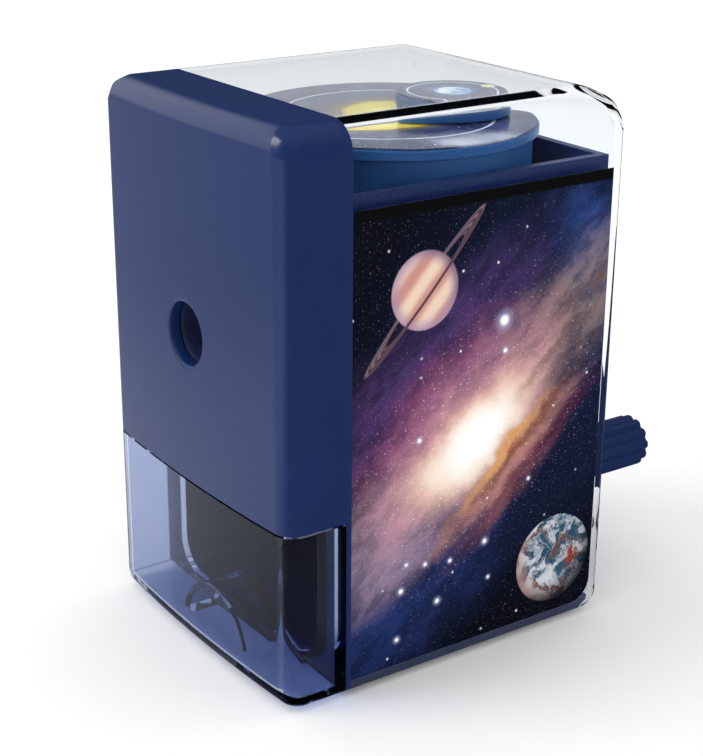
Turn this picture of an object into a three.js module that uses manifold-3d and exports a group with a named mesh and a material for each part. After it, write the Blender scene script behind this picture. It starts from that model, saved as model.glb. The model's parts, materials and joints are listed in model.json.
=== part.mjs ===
// A desk pencil sharpener with a hand crank, a shavings drawer and a turning orrery under a clear hood.
// Millimetres, +Z up. The pencil goes in at the front, towards +Y, and the crank is at the back.
// The origin is the middle of the base pad's underside, which stands on the desk.
import * as THREE from "three";
import { mergeVertices } from "three/addons/utils/BufferGeometryUtils.js";
import Module from "manifold-3d";

const wasm = await Module();
wasm.setup();

// Casing: one rounded box, shared by the front cover, the drawer's front, the flange and the hood.
const CASE_WIDTH = 66.2;
const CASE_DEPTH = 77.4;
const CASE_HEIGHT = 110;
const FRONT_CROWN = 1.4;
const FRONT_CORNER_R = 3.8;
const BACK_CORNER_R = 2.4;
const TOP_SIDE_R = 6;
const BOTTOM_SIDE_R = 2;
const FRONT_TOP_R = 4.5;
const FRONT_BOTTOM_R = 3.5;
const BACK_TOP_R = 9.5;
const BACK_BOTTOM_R = 5.5;
const FRONT_SECTION = 13;
const FLANGE = 1;
const COVER_WALL = 2.2;
const HOOD_WALL = 1.9;
const LABEL = 0.25;
const LABEL_TOP = 94.5;
const LABEL_MARGIN = 0.8;

// Clearances.
const FIT = 0.3;
const SEAM = 0.4;
const EDGE_GAP = 0.1;

// Base and its pad.
const BASE_THICK = 2.4;
const PAD_PROUD = 0.8;
const PAD_RECESS = 0.8;
const PAD_WIDTH = 44;
const PAD_DEPTH = 50;
const PAD_CORNER_R = 5;

// Drawer.
const DRAWER_SPLIT = 35.9;
const DRAWER_LIFT = 0.6;
const DRAWER_WALL = 1.8;
const TRAY_WIDTH = 54;
const TRAY_BACK = 27;
const TRAY_TOP = 34;
const TRAY_WALL = 1.6;
const TRAY_CORNER_R = 8;
const NOTCH_RADIUS = 12;
const NOTCH_HEIGHT = 11.5;
const NOTCH_WALL = 1.2;
const NOTCH_DEPTH = 9;

// Inner housing.
const HOUSING_WALL = 1.8;
const HOUSING_TOP = 96.6;
const LABEL_SPACE = 0.7;
const RAIL_LOW = 10;
const RAIL_HEIGHT = 3;
const ROOF_ABOVE_TRAY = 3;
const ROOF_THICK = 1.6;
const CHUTE_HALF = 21;
const CHUTE_FROM = -20;
const CHUTE_TO = 18;
const POST_X = 24;
const POST_WIDTH = 9;
const POST_TOP = 24;
const LEDGE = 1.5;

// Crank, shaft and knob.
const AXIS_Z = 66;
const SHAFT_R = 3;
const SHAFT_FRONT = 10;
const BUSH_R = 6;
const BUSH_FLANGE_R = 8.5;
const BUSH_FLANGE = 1.8;
const BUSH_NOSE = 1.3;
const ARM_GAP = 2.4;
const ARM_THICK = 5.8;
const ARM_HUB_R = 7.2;
const ARM_END_R = 6;
const ARM_LENGTH = 43.6;
const ARM_REST_DEG = -15.7;
const ARM_END_WALL = 2;
const KNOB_R = 5.7;
const KNOB_FLUTES = 12;
const KNOB_FLUTE_DEPTH = 0.6;
const KNOB_RIDGE_SHARE = 0.54;
const KNOB_GROOVE_SHARE = 0.13;
const KNOB_LENGTH = 19.2;
const KNOB_CHAMFER = 0.8;
const PIN_R = 2;
const PIN_IN_KNOB = 14;
const PIN_HEAD_R = 3.2;
const PIN_HEAD = 1.2;

// Pencil way and cutting head.
const MOUTH_R = 6;
const GUIDE_R = 9;
const GUIDE_BORE_R = 5.2;
const GUIDE_LENGTH = 8.4;
const COLLAR_WALL = 1.7;
const COLLAR_DEPTH = 3;
const PENCIL_R = 4.4;
const HUB_R = 6.4;
const HUB_IN_GUIDE = 2.1;
const CONE_DEG = 11;
const POINT_Y = 4;
const CUTTER_R = 5.5;
const CUTTER_LENGTH = 21.5;
const CUTTER_FLUTES = 12;
const CUTTER_FLUTE_DEPTH = 0.8;
const CUTTER_TIP_DEG = 8;
const CUTTER_ROOT_DEG = 20;
const CUTTER_TWIST_DEG = 95;
const CUTTER_TO_PINION = 3;
const SPINDLE_R = 1.5;
const RING_TEETH = 30;
const PINION_TEETH = 10;
const PINION_RUN = 0.5;
const RING_FACE = 5.5;
const RING_R = 20.5;
const RING_EAR_X = 23.4;
const RING_EAR_R = 3.6;
const RING_EAR = 2;
const CARRIER_PLATE = 2.5;
const CARRIER_R = 14.3;
const CARRIER_BACK_FROM = 7.4;
const CARRIER_BACK = 6;
const BAR_WIDTH = 6;
const BAR_THICK = 3.4;
const BAR_RUN = 0.92;
const CUTTER_OVERLAP = 0.5;
const SPINDLE_AHEAD = 4.6;
const SPINDLE_BEHIND = 2;
const BAR_DEG = 125;
const BULKHEAD_RUN = 0.22;

// Orrery: a spur gear on the crank shaft turns a crown gear, its spindle turns the disc,
// and a fixed sun gear turns the small planet disc.
const GEAR_MODULE = 1.26;
const DRIVE_TEETH = 27;
const CROWN_TEETH = 24;
const DRIVE_FACE = 4;
const CROWN_FACE = 5;
const CROWN_PLATE = 2.2;
const TABLE_Y = 6.3;
const TABLE_R = 29.1;
const TABLE_TOP = 101.9;
const TABLE_PLATE = 2;
const DRUM_R = 27.9;
const DRUM_WALL = 1.6;
const DRUM_ABOVE_DECK = 1;
const DECK_TOP = 90;
const DECK_THICK = 1.6;
const DECK_HUB_R = 4.5;
const DECK_HUB = 3.4;
const SUN_TEETH = 16;
const PLANET_TEETH = 12;
const PLANET_ORBIT = 13.4;
const PLANET_DEG = -15.2;
const PLANET_FACE = 3;
const PLANET_DISC_R = 11.2;
const PLANET_DISC = 2.7;
const PRINT = 0.3;
const AXLE_R = 2;
const COLLAR_R = 3.6;
const TABLE_HUB_R = 5;

// Screws, all self-tapping with pan heads.
const SCREW_R = 1.2;
const SCREW_HEAD_R = 2.8;
const SCREW_HEAD = 1.7;
const SCREW_LENGTH = 9;
const SHORT_SCREW = 6;
const COVER_SCREW_X = 24;
const COVER_SCREW_LOW = 45;
const COVER_SCREW_HIGH = 84;
const HOOD_SCREW_Z = 16;
const BASE_SCREW_Y = 31;

const ARC_STEPS = 5;
const ROUND = 20;
const FINE_ROUND = 36;

const halfWidth = CASE_WIDTH / 2;
const frontY = -CASE_DEPTH / 2;
const backY = CASE_DEPTH / 2;
const noseY = frontY - FRONT_CROWN;
const seamY = frontY + FRONT_SECTION;
const hoodY = seamY + FLANGE;
const bulkheadY = hoodY + FLANGE;
const hoodInnerX = halfWidth - HOOD_WALL;
const hoodInnerBack = backY - HOOD_WALL;
const housingX = hoodInnerX - LABEL_SPACE;
const housingInnerX = housingX - HOUSING_WALL;
const housingBack = hoodInnerBack - LABEL_SPACE;
const housingInnerBack = housingBack - HOUSING_WALL;
const deckUnder = DECK_TOP - DECK_THICK;
const degrees = (angle) => THREE.MathUtils.degToRad(angle);

// ---- solids -------------------------------------------------------------------------------

// A closed geometry as a manifold solid, its shared vertices merged.
function solid(geometry) {
  const bare = geometry.index ? geometry.toNonIndexed() : geometry.clone();
  bare.deleteAttribute("normal");
  bare.deleteAttribute("uv");
  const merged = mergeVertices(bare, 1e-4);
  const mesh = new wasm.Mesh({
    numProp: 3,
    vertProperties: merged.attributes.position.array,
    triVerts: new Uint32Array(merged.index.array),
  });
  return new wasm.Manifold(mesh);
}

// A manifold solid as a geometry with flat facets.
function geometryOf(manifold) {
  const mesh = manifold.getMesh();
  const indexed = new THREE.BufferGeometry();
  indexed.setAttribute("position", new THREE.BufferAttribute(mesh.vertProperties, 3));
  indexed.setIndex(new THREE.BufferAttribute(mesh.triVerts, 1));
  const geometry = indexed.toNonIndexed();
  geometry.computeVertexNormals();
  return geometry;
}

function join(...solids) {
  return solids.reduce((whole, piece) => whole.add(piece));
}

function cut(body, ...tools) {
  return tools.reduce((whole, tool) => whole.subtract(tool), body);
}

function common(...solids) {
  return solids.reduce((whole, piece) => whole.intersect(piece));
}

function arc(x, y, radius, fromDeg, toDeg, steps = ARC_STEPS) {
  const points = [];
  for (let i = 0; i <= steps; i++) {
    const angle = degrees(fromDeg + ((toDeg - fromDeg) * i) / steps);
    points.push([x + radius * Math.cos(angle), y + radius * Math.sin(angle)]);
  }
  return points;
}

// A shape from a list of points, without repeated ones.
function outline(points) {
  const kept = points.filter(([x, y], i) => {
    const [px, py] = points[(i + points.length - 1) % points.length];
    return Math.hypot(x - px, y - py) > 1e-6;
  });
  return new THREE.Shape(kept.map(([x, y]) => new THREE.Vector2(x, y)));
}

// A rectangle with its corners rounded, counter-clockwise from the lower left.
function roundedRect(left, low, right, high, [ll, lr, ur, ul]) {
  return outline([
    ...arc(left + ll, low + ll, ll, 180, 270),
    ...arc(right - lr, low + lr, lr, 270, 360),
    ...arc(right - ur, high - ur, ur, 0, 90),
    ...arc(left + ul, high - ul, ul, 90, 180),
  ]);
}

function extrude(shape, depth) {
  return new THREE.ExtrudeGeometry(shape, { depth, bevelEnabled: false });
}

// An (x, z) shape drawn out along Y, and the same for the other two axes.
function alongY(shape, fromY, toY) {
  return solid(extrude(shape, toY - fromY).rotateX(Math.PI / 2).translate(0, toY, 0));
}

function alongX(shape, fromX, toX) {
  const turn = new THREE.Matrix4().makeBasis(
    new THREE.Vector3(0, 1, 0),
    new THREE.Vector3(0, 0, 1),
    new THREE.Vector3(1, 0, 0),
  );
  return solid(extrude(shape, toX - fromX).applyMatrix4(turn).translate(fromX, 0, 0));
}

function alongZ(shape, fromZ, toZ) {
  return solid(extrude(shape, toZ - fromZ).translate(0, 0, fromZ));
}

function box(fromX, toX, fromY, toY, fromZ, toZ) {
  const block = new THREE.BoxGeometry(toX - fromX, toY - fromY, toZ - fromZ);
  return solid(block.translate((fromX + toX) / 2, (fromY + toY) / 2, (fromZ + toZ) / 2));
}

// A rod along Y or along Z.
function rodY(x, z, radius, fromY, toY, sides = ROUND) {
  const rod = new THREE.CylinderGeometry(radius, radius, toY - fromY, sides);
  return solid(rod.translate(x, (fromY + toY) / 2, z));
}

function rodZ(x, y, radius, fromZ, toZ, sides = ROUND) {
  const rod = new THREE.CylinderGeometry(radius, radius, toZ - fromZ, sides);
  return solid(rod.rotateX(Math.PI / 2).translate(x, y, (fromZ + toZ) / 2));
}

// A turned piece about Y from a closed (radius, y) profile, counter-clockwise.
function turned(profile, sides = ROUND) {
  const points = [...profile, profile[0]].map(([r, y]) => new THREE.Vector2(r, y));
  return solid(new THREE.LatheGeometry(points, sides));
}

// The casing's rounded box between two depths, its faces moved in by inset.
function caseBlock(inset, fromY, toY) {
  const round = (radius) => Math.max(radius - inset, 0.4);
  const x = halfWidth - inset;
  const top = CASE_HEIGHT - inset;
  const across = roundedRect(-x, inset, x, top, [
    round(BOTTOM_SIDE_R),
    round(BOTTOM_SIDE_R),
    round(TOP_SIDE_R),
    round(TOP_SIDE_R),
  ]);
  const side = roundedRect(noseY + inset, inset, backY - inset, top, [
    round(FRONT_BOTTOM_R),
    round(BACK_BOTTOM_R),
    round(BACK_TOP_R),
    round(FRONT_TOP_R),
  ]);
  const corner = round(FRONT_CORNER_R);
  const face = frontY + inset;
  const crownHalf = x - corner;
  const crownR = (crownHalf ** 2 + FRONT_CROWN ** 2) / (2 * FRONT_CROWN);
  const crownDeg = THREE.MathUtils.radToDeg(Math.asin(crownHalf / crownR));
  const plan = outline([
    ...arc(-crownHalf, face + corner, corner, 180, 270),
    ...arc(0, face - FRONT_CROWN + crownR, crownR, 270 - crownDeg, 270 + crownDeg, 10),
    ...arc(crownHalf, face + corner, corner, 270, 360),
    ...arc(x - round(BACK_CORNER_R), backY - inset - round(BACK_CORNER_R), round(BACK_CORNER_R), 0, 90),
    ...arc(round(BACK_CORNER_R) - x, backY - inset - round(BACK_CORNER_R), round(BACK_CORNER_R), 90, 180),
  ]);
  return common(
    alongY(across, fromY, toY),
    alongX(side, -halfWidth - 1, halfWidth + 1),
    alongZ(plan, -1, CASE_HEIGHT + 1),
  );
}

// ---- gears --------------------------------------------------------------------------------

const TOOTH_SLOPE = Math.tan(degrees(20));
const TOOTH_TIP = 0.85;
const TOOTH_ROOT = 1.15;
const TOOTH_SHARE = 0.42;
const CROWN_SHARE = 0.34;

// A spur gear's outline with one tooth on +Y of the sheet. The share is the tooth's part of the pitch.
function gearOutline(teeth, pitchR, share = TOOTH_SHARE, tip = TOOTH_TIP, root = TOOTH_ROOT) {
  const size = (2 * pitchR) / teeth;
  const half = (share * Math.PI * size) / 2;
  const tipR = pitchR + tip * size;
  const rootR = pitchR - root * size;
  const tipHalf = (half - tip * size * TOOTH_SLOPE) / tipR;
  const rootHalf = (half + root * size * TOOTH_SLOPE) / rootR;
  const points = [];
  for (let i = 0; i < teeth; i++) {
    const middle = Math.PI / 2 + (2 * Math.PI * i) / teeth;
    for (const [radius, turn] of [
      [rootR, -rootHalf],
      [tipR, -tipHalf],
      [tipR, tipHalf],
      [rootR, rootHalf],
    ])
      points.push([radius * Math.cos(middle + turn), radius * Math.sin(middle + turn)]);
  }
  return outline(points);
}

// An outline drawn along Y that shrinks towards an apex, as a bevel gear's teeth do.
function tapered(shape, atY, fromY, toY, apexY) {
  const geometry = extrude(shape, toY - fromY).rotateX(Math.PI / 2).translate(0, toY, 0);
  const position = geometry.attributes.position;
  for (let i = 0; i < position.count; i++) {
    const shrink = (apexY - position.getY(i)) / (apexY - atY);
    position.setX(i, position.getX(i) * shrink);
    position.setZ(i, position.getZ(i) * shrink);
  }
  return solid(geometry);
}

// ---- places of the cutting head ------------------------------------------------------------

// The cutter's axis leans by the point's half angle and meets the pencil's axis at the apex.
// Ring and pinion are bevel gears on cones about that apex, so that they roll true.
const lean = degrees(CONE_DEG);
const apexY = POINT_Y + CUTTER_R / Math.sin(lean);
const pinionCone = Math.atan(Math.sin(lean) / (RING_TEETH / PINION_TEETH - Math.cos(lean)));
const ringCone = pinionCone + lean;
const ringFront = bulkheadY;
const ringMiddle = ringFront + RING_FACE / 2;
const coneLength = (apexY - ringMiddle) / Math.cos(ringCone);
const ringPitchR = coneLength * Math.sin(ringCone);
const pinionMiddle = -coneLength * Math.cos(pinionCone);
const pinionPitchR = coneLength * Math.sin(pinionCone);
const pinionFace = RING_FACE - PINION_RUN;

// The bulkhead's hole clears the pinion, whose reach is greatest at the ring's front.
// The carrier's bars run just inside the tips of the ring's teeth, which are lowest at its back.
const ringModule = (2 * ringPitchR) / RING_TEETH;
const ringBackShare = (apexY - ringFront - RING_FACE) / (apexY - ringMiddle);
const ringTipBack = (ringPitchR - TOOTH_TIP * ringModule) * ringBackShare;
const barRadius = Math.sqrt((ringTipBack - BAR_RUN) ** 2 - (BAR_WIDTH / 2) ** 2) - BAR_THICK / 2;
const ringFrontShare = (apexY - ringFront) / (apexY - ringMiddle);
const pinionReach = (ringPitchR + TOOTH_TIP * ringModule) * ringFrontShare;
const bulkheadHoleR = pinionReach + BULKHEAD_RUN;

// ---- materials ----------------------------------------------------------------------------

const finish = (color, roughness, metalness = 0, more = {}) =>
  new THREE.MeshStandardMaterial({ color, roughness, metalness, ...more });
const navy = finish(0x22305f, 0.35);
const deepNavy = finish(0x1b2a5a, 0.45);
const clear = finish(0xe8ecf0, 0.05, 0, { transparent: true, opacity: 0.25 });
const smoke = finish(0x97a4c8, 0.08, 0, { transparent: true, opacity: 0.55 });
const galaxyPrint = finish(0x1c1836, 0.3);
const skyPrint = finish(0x2a2747, 0.25);
const steel = finish(0xb4b6b8, 0.3, 1);
const cutterSteel = finish(0x77797c, 0.35, 1);
const acetal = finish(0xe6e4da, 0.45);
const brass = finish(0xb8944e, 0.35, 1);
const rubber = finish(0x1b1b1c, 0.9);
const zinc = finish(0xa3a6aa, 0.35, 1);

const sharpener = new THREE.Group();
const casing = new THREE.Group();
casing.position.z = PAD_PROUD;
sharpener.add(casing);

function addPiece(parent, name, shape, material) {
  const mesh = new THREE.Mesh(geometryOf(shape), material);
  mesh.name = name;
  parent.add(mesh);
  return mesh;
}

// ---- casing -------------------------------------------------------------------------------

// The front cover holds the pencil guide in a collar and has four screw posts behind its face.
function frontCover() {
  const low = DRAWER_SPLIT + SEAM / 2;
  const shell = common(
    caseBlock(0, noseY, seamY),
    box(-halfWidth, halfWidth, noseY, seamY, low, CASE_HEIGHT),
  );
  const hollow = common(
    caseBlock(COVER_WALL, noseY, seamY + 1),
    box(-halfWidth, halfWidth, noseY, seamY + 1, low + COVER_WALL, CASE_HEIGHT),
  );
  const innerFace = noseY + COVER_WALL;
  const collarR = GUIDE_R + FIT + COLLAR_WALL;
  const collar = rodY(0, AXIS_Z, collarR, innerFace - 1, innerFace + COLLAR_DEPTH);
  const seat = rodY(0, AXIS_Z, GUIDE_R + FIT, innerFace, innerFace + COLLAR_DEPTH + 1);
  const posts = coverScrewPlaces().map(([x, z]) =>
    cut(
      rodY(x, z, SCREW_HEAD_R, innerFace - FRONT_CROWN / 2, seamY, 12),
      rodY(x, z, SCREW_R + FIT, seamY - SCREW_LENGTH, seamY + 1, 12),
    ),
  );
  const walls = join(cut(shell, hollow), collar, ...posts);
  return cut(walls, seat, rodY(0, AXIS_Z, MOUTH_R, noseY - 1, innerFace + 1, FINE_ROUND));
}

function coverScrewPlaces() {
  const places = [];
  for (const x of [-COVER_SCREW_X, COVER_SCREW_X])
    for (const z of [COVER_SCREW_LOW, COVER_SCREW_HIGH]) places.push([x, z]);
  return places;
}

// The guide is a stepped tube: the pencil passes its narrow end and the cutting head runs in its wide end.
function pencilGuide() {
  const from = noseY + COVER_WALL + FIT;
  const to = from + GUIDE_LENGTH;
  const step = to - HUB_IN_GUIDE - FIT;
  return turned([
    [GUIDE_BORE_R, from],
    [GUIDE_R, from],
    [GUIDE_R, to],
    [HUB_R + FIT, to],
    [HUB_R + FIT, step],
    [GUIDE_BORE_R, step],
  ]);
}

const trayHalf = TRAY_WIDTH / 2;
const trayLow = BASE_THICK + FIT;

function trayOutline(inset, low, high) {
  const radius = TRAY_CORNER_R - inset;
  return roundedRect(-trayHalf + inset, low, trayHalf - inset, high, [radius, radius, 0, 0]);
}

// The drawer is one moulding: a front that completes the casing, and a tray with rounded lower corners.
function drawer() {
  const high = DRAWER_SPLIT - SEAM / 2;
  const back = seamY - EDGE_GAP;
  const face = common(
    caseBlock(0, noseY, back),
    box(-halfWidth, halfWidth, noseY, back, DRAWER_LIFT, high),
  );
  const faceHollow = common(
    caseBlock(DRAWER_WALL, noseY, back - DRAWER_WALL),
    box(-halfWidth, halfWidth, noseY, back, DRAWER_LIFT + DRAWER_WALL, high + 1),
  );
  const tray = alongY(trayOutline(0, trayLow, TRAY_TOP), back - DRAWER_WALL, TRAY_BACK);
  const trayHollow = alongY(
    trayOutline(TRAY_WALL, trayLow + TRAY_WALL, TRAY_TOP + 1),
    back - DRAWER_WALL - 1,
    TRAY_BACK - TRAY_WALL,
  );
  const archCentre = NOTCH_HEIGHT - NOTCH_RADIUS;
  const arch = (radius) => {
    const foot = THREE.MathUtils.radToDeg(Math.asin((DRAWER_LIFT - archCentre) / radius));
    return outline(arc(0, archCentre, radius, foot, 180 - foot, 12));
  };
  const grip = alongY(arch(NOTCH_RADIUS), back - NOTCH_DEPTH, back);
  const gripHollow = alongY(
    arch(NOTCH_RADIUS - NOTCH_WALL),
    back - NOTCH_DEPTH + NOTCH_WALL,
    back - NOTCH_WALL,
  );
  const gripMouth = box(
    NOTCH_WALL - NOTCH_RADIUS,
    NOTCH_RADIUS - NOTCH_WALL,
    back - NOTCH_DEPTH + NOTCH_WALL,
    back - NOTCH_WALL,
    -1,
    DRAWER_LIFT + DRAWER_WALL,
  );
  const shell = join(cut(face, faceHollow), tray);
  return cut(join(cut(shell, trayHollow), grip), gripHollow, gripMouth);
}

// The inner housing: a flange that shows as a fine line, a bulkhead, walls, a chute roof and rear posts.
function innerHousing() {
  const flange = cut(
    caseBlock(0, seamY, hoodY),
    box(-trayHalf, trayHalf, seamY - 1, hoodY + 1, -1, BASE_THICK),
  );
  const walls = cut(
    box(-housingX, housingX, hoodY - FLANGE / 2, housingBack, BASE_THICK, HOUSING_TOP),
    box(-housingInnerX, housingInnerX, bulkheadY, housingInnerBack, BASE_THICK - 1, HOUSING_TOP + 1),
  );
  const roofLow = TRAY_TOP + ROOF_ABOVE_TRAY;
  const roof = cut(
    box(-housingX, housingX, hoodY, housingBack, roofLow, roofLow + ROOF_THICK),
    box(-CHUTE_HALF, CHUTE_HALF, CHUTE_FROM, CHUTE_TO, roofLow - 1, roofLow + ROOF_THICK + 1),
  );
  const sides = [-1, 1];
  const rails = sides.map((side) => {
    const inner = side * (trayHalf + FIT);
    const outer = side * (housingInnerX + 1);
    const x = [inner, outer].sort((a, b) => a - b);
    return box(...x, hoodY, TRAY_BACK, RAIL_LOW, RAIL_LOW + RAIL_HEIGHT);
  });
  const posts = sides.map((side) => {
    const x = side * POST_X;
    const from = TRAY_BACK + 1;
    return box(x - POST_WIDTH / 2, x + POST_WIDTH / 2, from, housingInnerBack + 1, BASE_THICK, POST_TOP);
  });
  const ledges = sides.map((side) => {
    const x = [side * (housingInnerX - LEDGE), side * (housingInnerX + 1)].sort((a, b) => a - b);
    return box(...x, bulkheadY - 1, housingInnerBack + 1, deckUnder - LEDGE, deckUnder);
  });
  const bayHalf = trayHalf + SEAM;
  const bay = alongY(
    roundedRect(-bayHalf, BASE_THICK, bayHalf, TRAY_TOP + 1, [TRAY_CORNER_R, TRAY_CORNER_R, 0, 0]),
    seamY - 1,
    bulkheadY + 1,
  );
  const body = join(flange, walls, roof, ...rails, ...posts, ...ledges);
  const holes = [
    rodY(0, AXIS_Z, bulkheadHoleR, seamY - 1, bulkheadY + 1, FINE_ROUND),
    rodY(0, AXIS_Z, BUSH_R + FIT, housingInnerBack - 1, housingBack + 1),
  ];
  for (const [x, z] of coverScrewPlaces()) {
    holes.push(rodY(x, z, SCREW_R + FIT, seamY - 1, bulkheadY + 1, 12));
  }
  for (const x of [-POST_X, POST_X]) {
    const screwEnd = backY - SCREW_LENGTH;
    holes.push(rodY(x, HOOD_SCREW_Z, SCREW_R + FIT, screwEnd, housingBack + 1, 12));
    holes.push(rodZ(x, BASE_SCREW_Y, SCREW_R + FIT, BASE_THICK - 1, SCREW_LENGTH, 12));
  }
  return cut(body, bay, ...holes);
}

const padUnder = PAD_RECESS;

function basePlate() {
  const x = hoodInnerX - EDGE_GAP;
  const plate = common(
    caseBlock(0, hoodY, backY),
    box(-x, x, hoodY, hoodInnerBack - EDGE_GAP, 0, BASE_THICK),
  );
  const recess = padShape(EDGE_GAP);
  const holes = [-POST_X, POST_X].map((place) =>
    rodZ(place, BASE_SCREW_Y, SCREW_R + FIT, -1, BASE_THICK + 1, 12),
  );
  const headSeats = [-POST_X, POST_X].map((place) =>
    rodZ(place, BASE_SCREW_Y, SCREW_HEAD_R + FIT, -1, SCREW_HEAD - EDGE_GAP, 12),
  );
  return cut(plate, alongZ(recess, -1, padUnder), ...holes, ...headSeats);
}

function padShape(grow) {
  const x = PAD_WIDTH / 2 + grow;
  const y = PAD_DEPTH / 2 + grow;
  const r = PAD_CORNER_R + grow;
  return roundedRect(-x, -y, x, y, [r, r, r, r]);
}

// The label on each side: a printed film that lies flush in a shallow recess of the clear hood.
function labelShape(grow) {
  const margin = LABEL_MARGIN - grow;
  const labelBack = backY - BACK_CORNER_R - margin;
  return roundedRect(hoodY - grow, BOTTOM_SIDE_R + margin, labelBack, LABEL_TOP + grow, [
    0,
    BACK_BOTTOM_R - LABEL_MARGIN,
    0,
    0,
  ]);
}

function hood() {
  const shell = caseBlock(0, hoodY, backY);
  const hollow = caseBlock(HOOD_WALL, noseY, backY);
  const under = box(-hoodInnerX, hoodInnerX, noseY, hoodInnerBack, -1, BACK_TOP_R + BASE_THICK);
  const recesses = [-1, 1].map((side) => {
    const x = [side * (halfWidth - LABEL), side * (halfWidth + 1)].sort((a, b) => a - b);
    return alongX(labelShape(EDGE_GAP), ...x);
  });
  const holes = [-POST_X, POST_X].map((x) =>
    rodY(x, HOOD_SCREW_Z, SCREW_R + FIT, hoodInnerBack - 1, backY + 1, 12),
  );
  holes.push(rodY(0, AXIS_Z, BUSH_R + FIT, hoodInnerBack - 1, backY + 1));
  return cut(shell, hollow, under, ...recesses, ...holes);
}

function sideLabel(side) {
  const x = [side * (halfWidth - LABEL), side * halfWidth].sort((a, b) => a - b);
  return alongX(labelShape(0), ...x);
}

// A pan-head screw along Y: its head's underside is at 0 and its shank runs towards -Y.
function screw(length) {
  const points = [
    [0, -length],
    [SCREW_R * 0.5, -length],
    [SCREW_R, -length + SCREW_R],
    [SCREW_R, 0],
    [SCREW_HEAD_R, 0],
    [SCREW_HEAD_R, SCREW_HEAD * 0.5],
    [SCREW_HEAD_R * 0.7, SCREW_HEAD],
    [0, SCREW_HEAD],
  ].map(([r, y]) => new THREE.Vector2(r, y));
  return solid(new THREE.LatheGeometry(points, 12));
}

function addScrew(parent, name, length, position, rotationX = 0) {
  const mesh = addPiece(parent, name, screw(length), zinc);
  mesh.position.set(...position);
  mesh.rotation.x = rotationX;
}

addPiece(casing, "front_cover", frontCover(), navy);
addPiece(casing, "pencil_guide", pencilGuide(), deepNavy).position.z = AXIS_Z;
addPiece(casing, "inner_housing", innerHousing(), navy);
addPiece(casing, "base_plate", basePlate(), deepNavy);
addPiece(casing, "base_pad", alongZ(padShape(0), -PAD_PROUD, padUnder), rubber);
addPiece(casing, "hood", hood(), clear);
addPiece(casing, "side_label_right", sideLabel(1), galaxyPrint);
addPiece(casing, "side_label_left", sideLabel(-1), galaxyPrint);
addPiece(casing, "drawer", drawer(), smoke);

const quarterTurn = Math.PI / 2;
coverScrewPlaces().forEach(([x, z]) => {
  const name = `cover_screw_${z > AXIS_Z ? "upper" : "lower"}_${x > 0 ? "right" : "left"}`;
  addScrew(casing, name, SCREW_LENGTH - 1, [x, bulkheadY, z]);
});
for (const [side, x] of [["left", -POST_X], ["right", POST_X]]) {
  addScrew(casing, `hood_screw_${side}`, SCREW_LENGTH - 1, [x, backY, HOOD_SCREW_Z]);
  const seat = SCREW_HEAD - EDGE_GAP;
  addScrew(casing, `base_screw_${side}`, SHORT_SCREW, [x, BASE_SCREW_Y, seat], -quarterTurn);
}

// ---- cutting head -------------------------------------------------------------------------

function ringGear() {
  const spaceShare = 1 - TOOTH_SHARE;
  const spaces = tapered(
    gearOutline(RING_TEETH, ringPitchR, spaceShare, TOOTH_ROOT, TOOTH_TIP),
    ringMiddle,
    ringFront - 1,
    ringFront + RING_FACE + 1,
    apexY,
  );
  const ears = [-1, 1].map((side) =>
    join(
      rodY(side * RING_EAR_X, 0, RING_EAR_R, ringFront, ringFront + RING_EAR),
      box(
        ...[side * (RING_R - 1), side * RING_EAR_X].sort((a, b) => a - b),
        ringFront,
        ringFront + RING_EAR,
        -RING_EAR_R,
        RING_EAR_R,
      ),
    ),
  );
  const body = join(rodY(0, 0, RING_R, ringFront, ringFront + RING_FACE, FINE_ROUND), ...ears);
  const holes = [-RING_EAR_X, RING_EAR_X].map((x) =>
    rodY(x, 0, SCREW_R + FIT, ringFront - 1, ringFront + RING_EAR + 1, 12),
  );
  return cut(body, spaces, ...holes);
}

// A solid that was drawn along the cutter's axis, moved to where that axis lies.
function onCutterAxis(body) {
  const place = new THREE.Matrix4().makeRotationX(-lean).setPosition(0, apexY, 0);
  return solid(geometryOf(body).applyMatrix4(place));
}

const spindleFront = -(apexY - bulkheadY + SPINDLE_AHEAD) / Math.cos(lean);
const spindleBack = -(apexY - CARRIER_BACK_FROM - SPINDLE_BEHIND) / Math.cos(lean);

// The carrier turns with the crank: a hub in the guide, a front plate, two bars and a back plate.
function carrier() {
  const guideEnd = noseY + COVER_WALL + FIT + GUIDE_LENGTH;
  const plateBack = seamY - SEAM;
  const plateFront = plateBack - CARRIER_PLATE;
  const backEnd = CARRIER_BACK_FROM + CARRIER_BACK;
  const bars = [-BAR_DEG, BAR_DEG].map((angle) => {
    const length = CARRIER_BACK_FROM - plateBack + 2;
    const bar = new THREE.BoxGeometry(BAR_WIDTH, length, BAR_THICK);
    bar.translate(0, plateBack - 1 + length / 2, barRadius);
    return solid(bar.rotateY(degrees(angle)));
  });
  const body = join(
    rodY(0, 0, HUB_R, guideEnd - HUB_IN_GUIDE, plateFront + 1, FINE_ROUND),
    rodY(0, 0, CARRIER_R, plateFront, plateBack, FINE_ROUND),
    rodY(0, 0, CARRIER_R, CARRIER_BACK_FROM, backEnd, FINE_ROUND),
    ...bars,
  );
  return cut(
    body,
    rodY(0, 0, PENCIL_R, guideEnd - HUB_IN_GUIDE - 1, plateBack + 1),
    rodY(0, 0, SHAFT_R + FIT, SHAFT_FRONT - FIT, backEnd + 1),
    onCutterAxis(rodY(0, 0, SPINDLE_R + FIT, spindleFront - FIT, spindleBack + FIT, 12)),
  );
}

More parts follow.
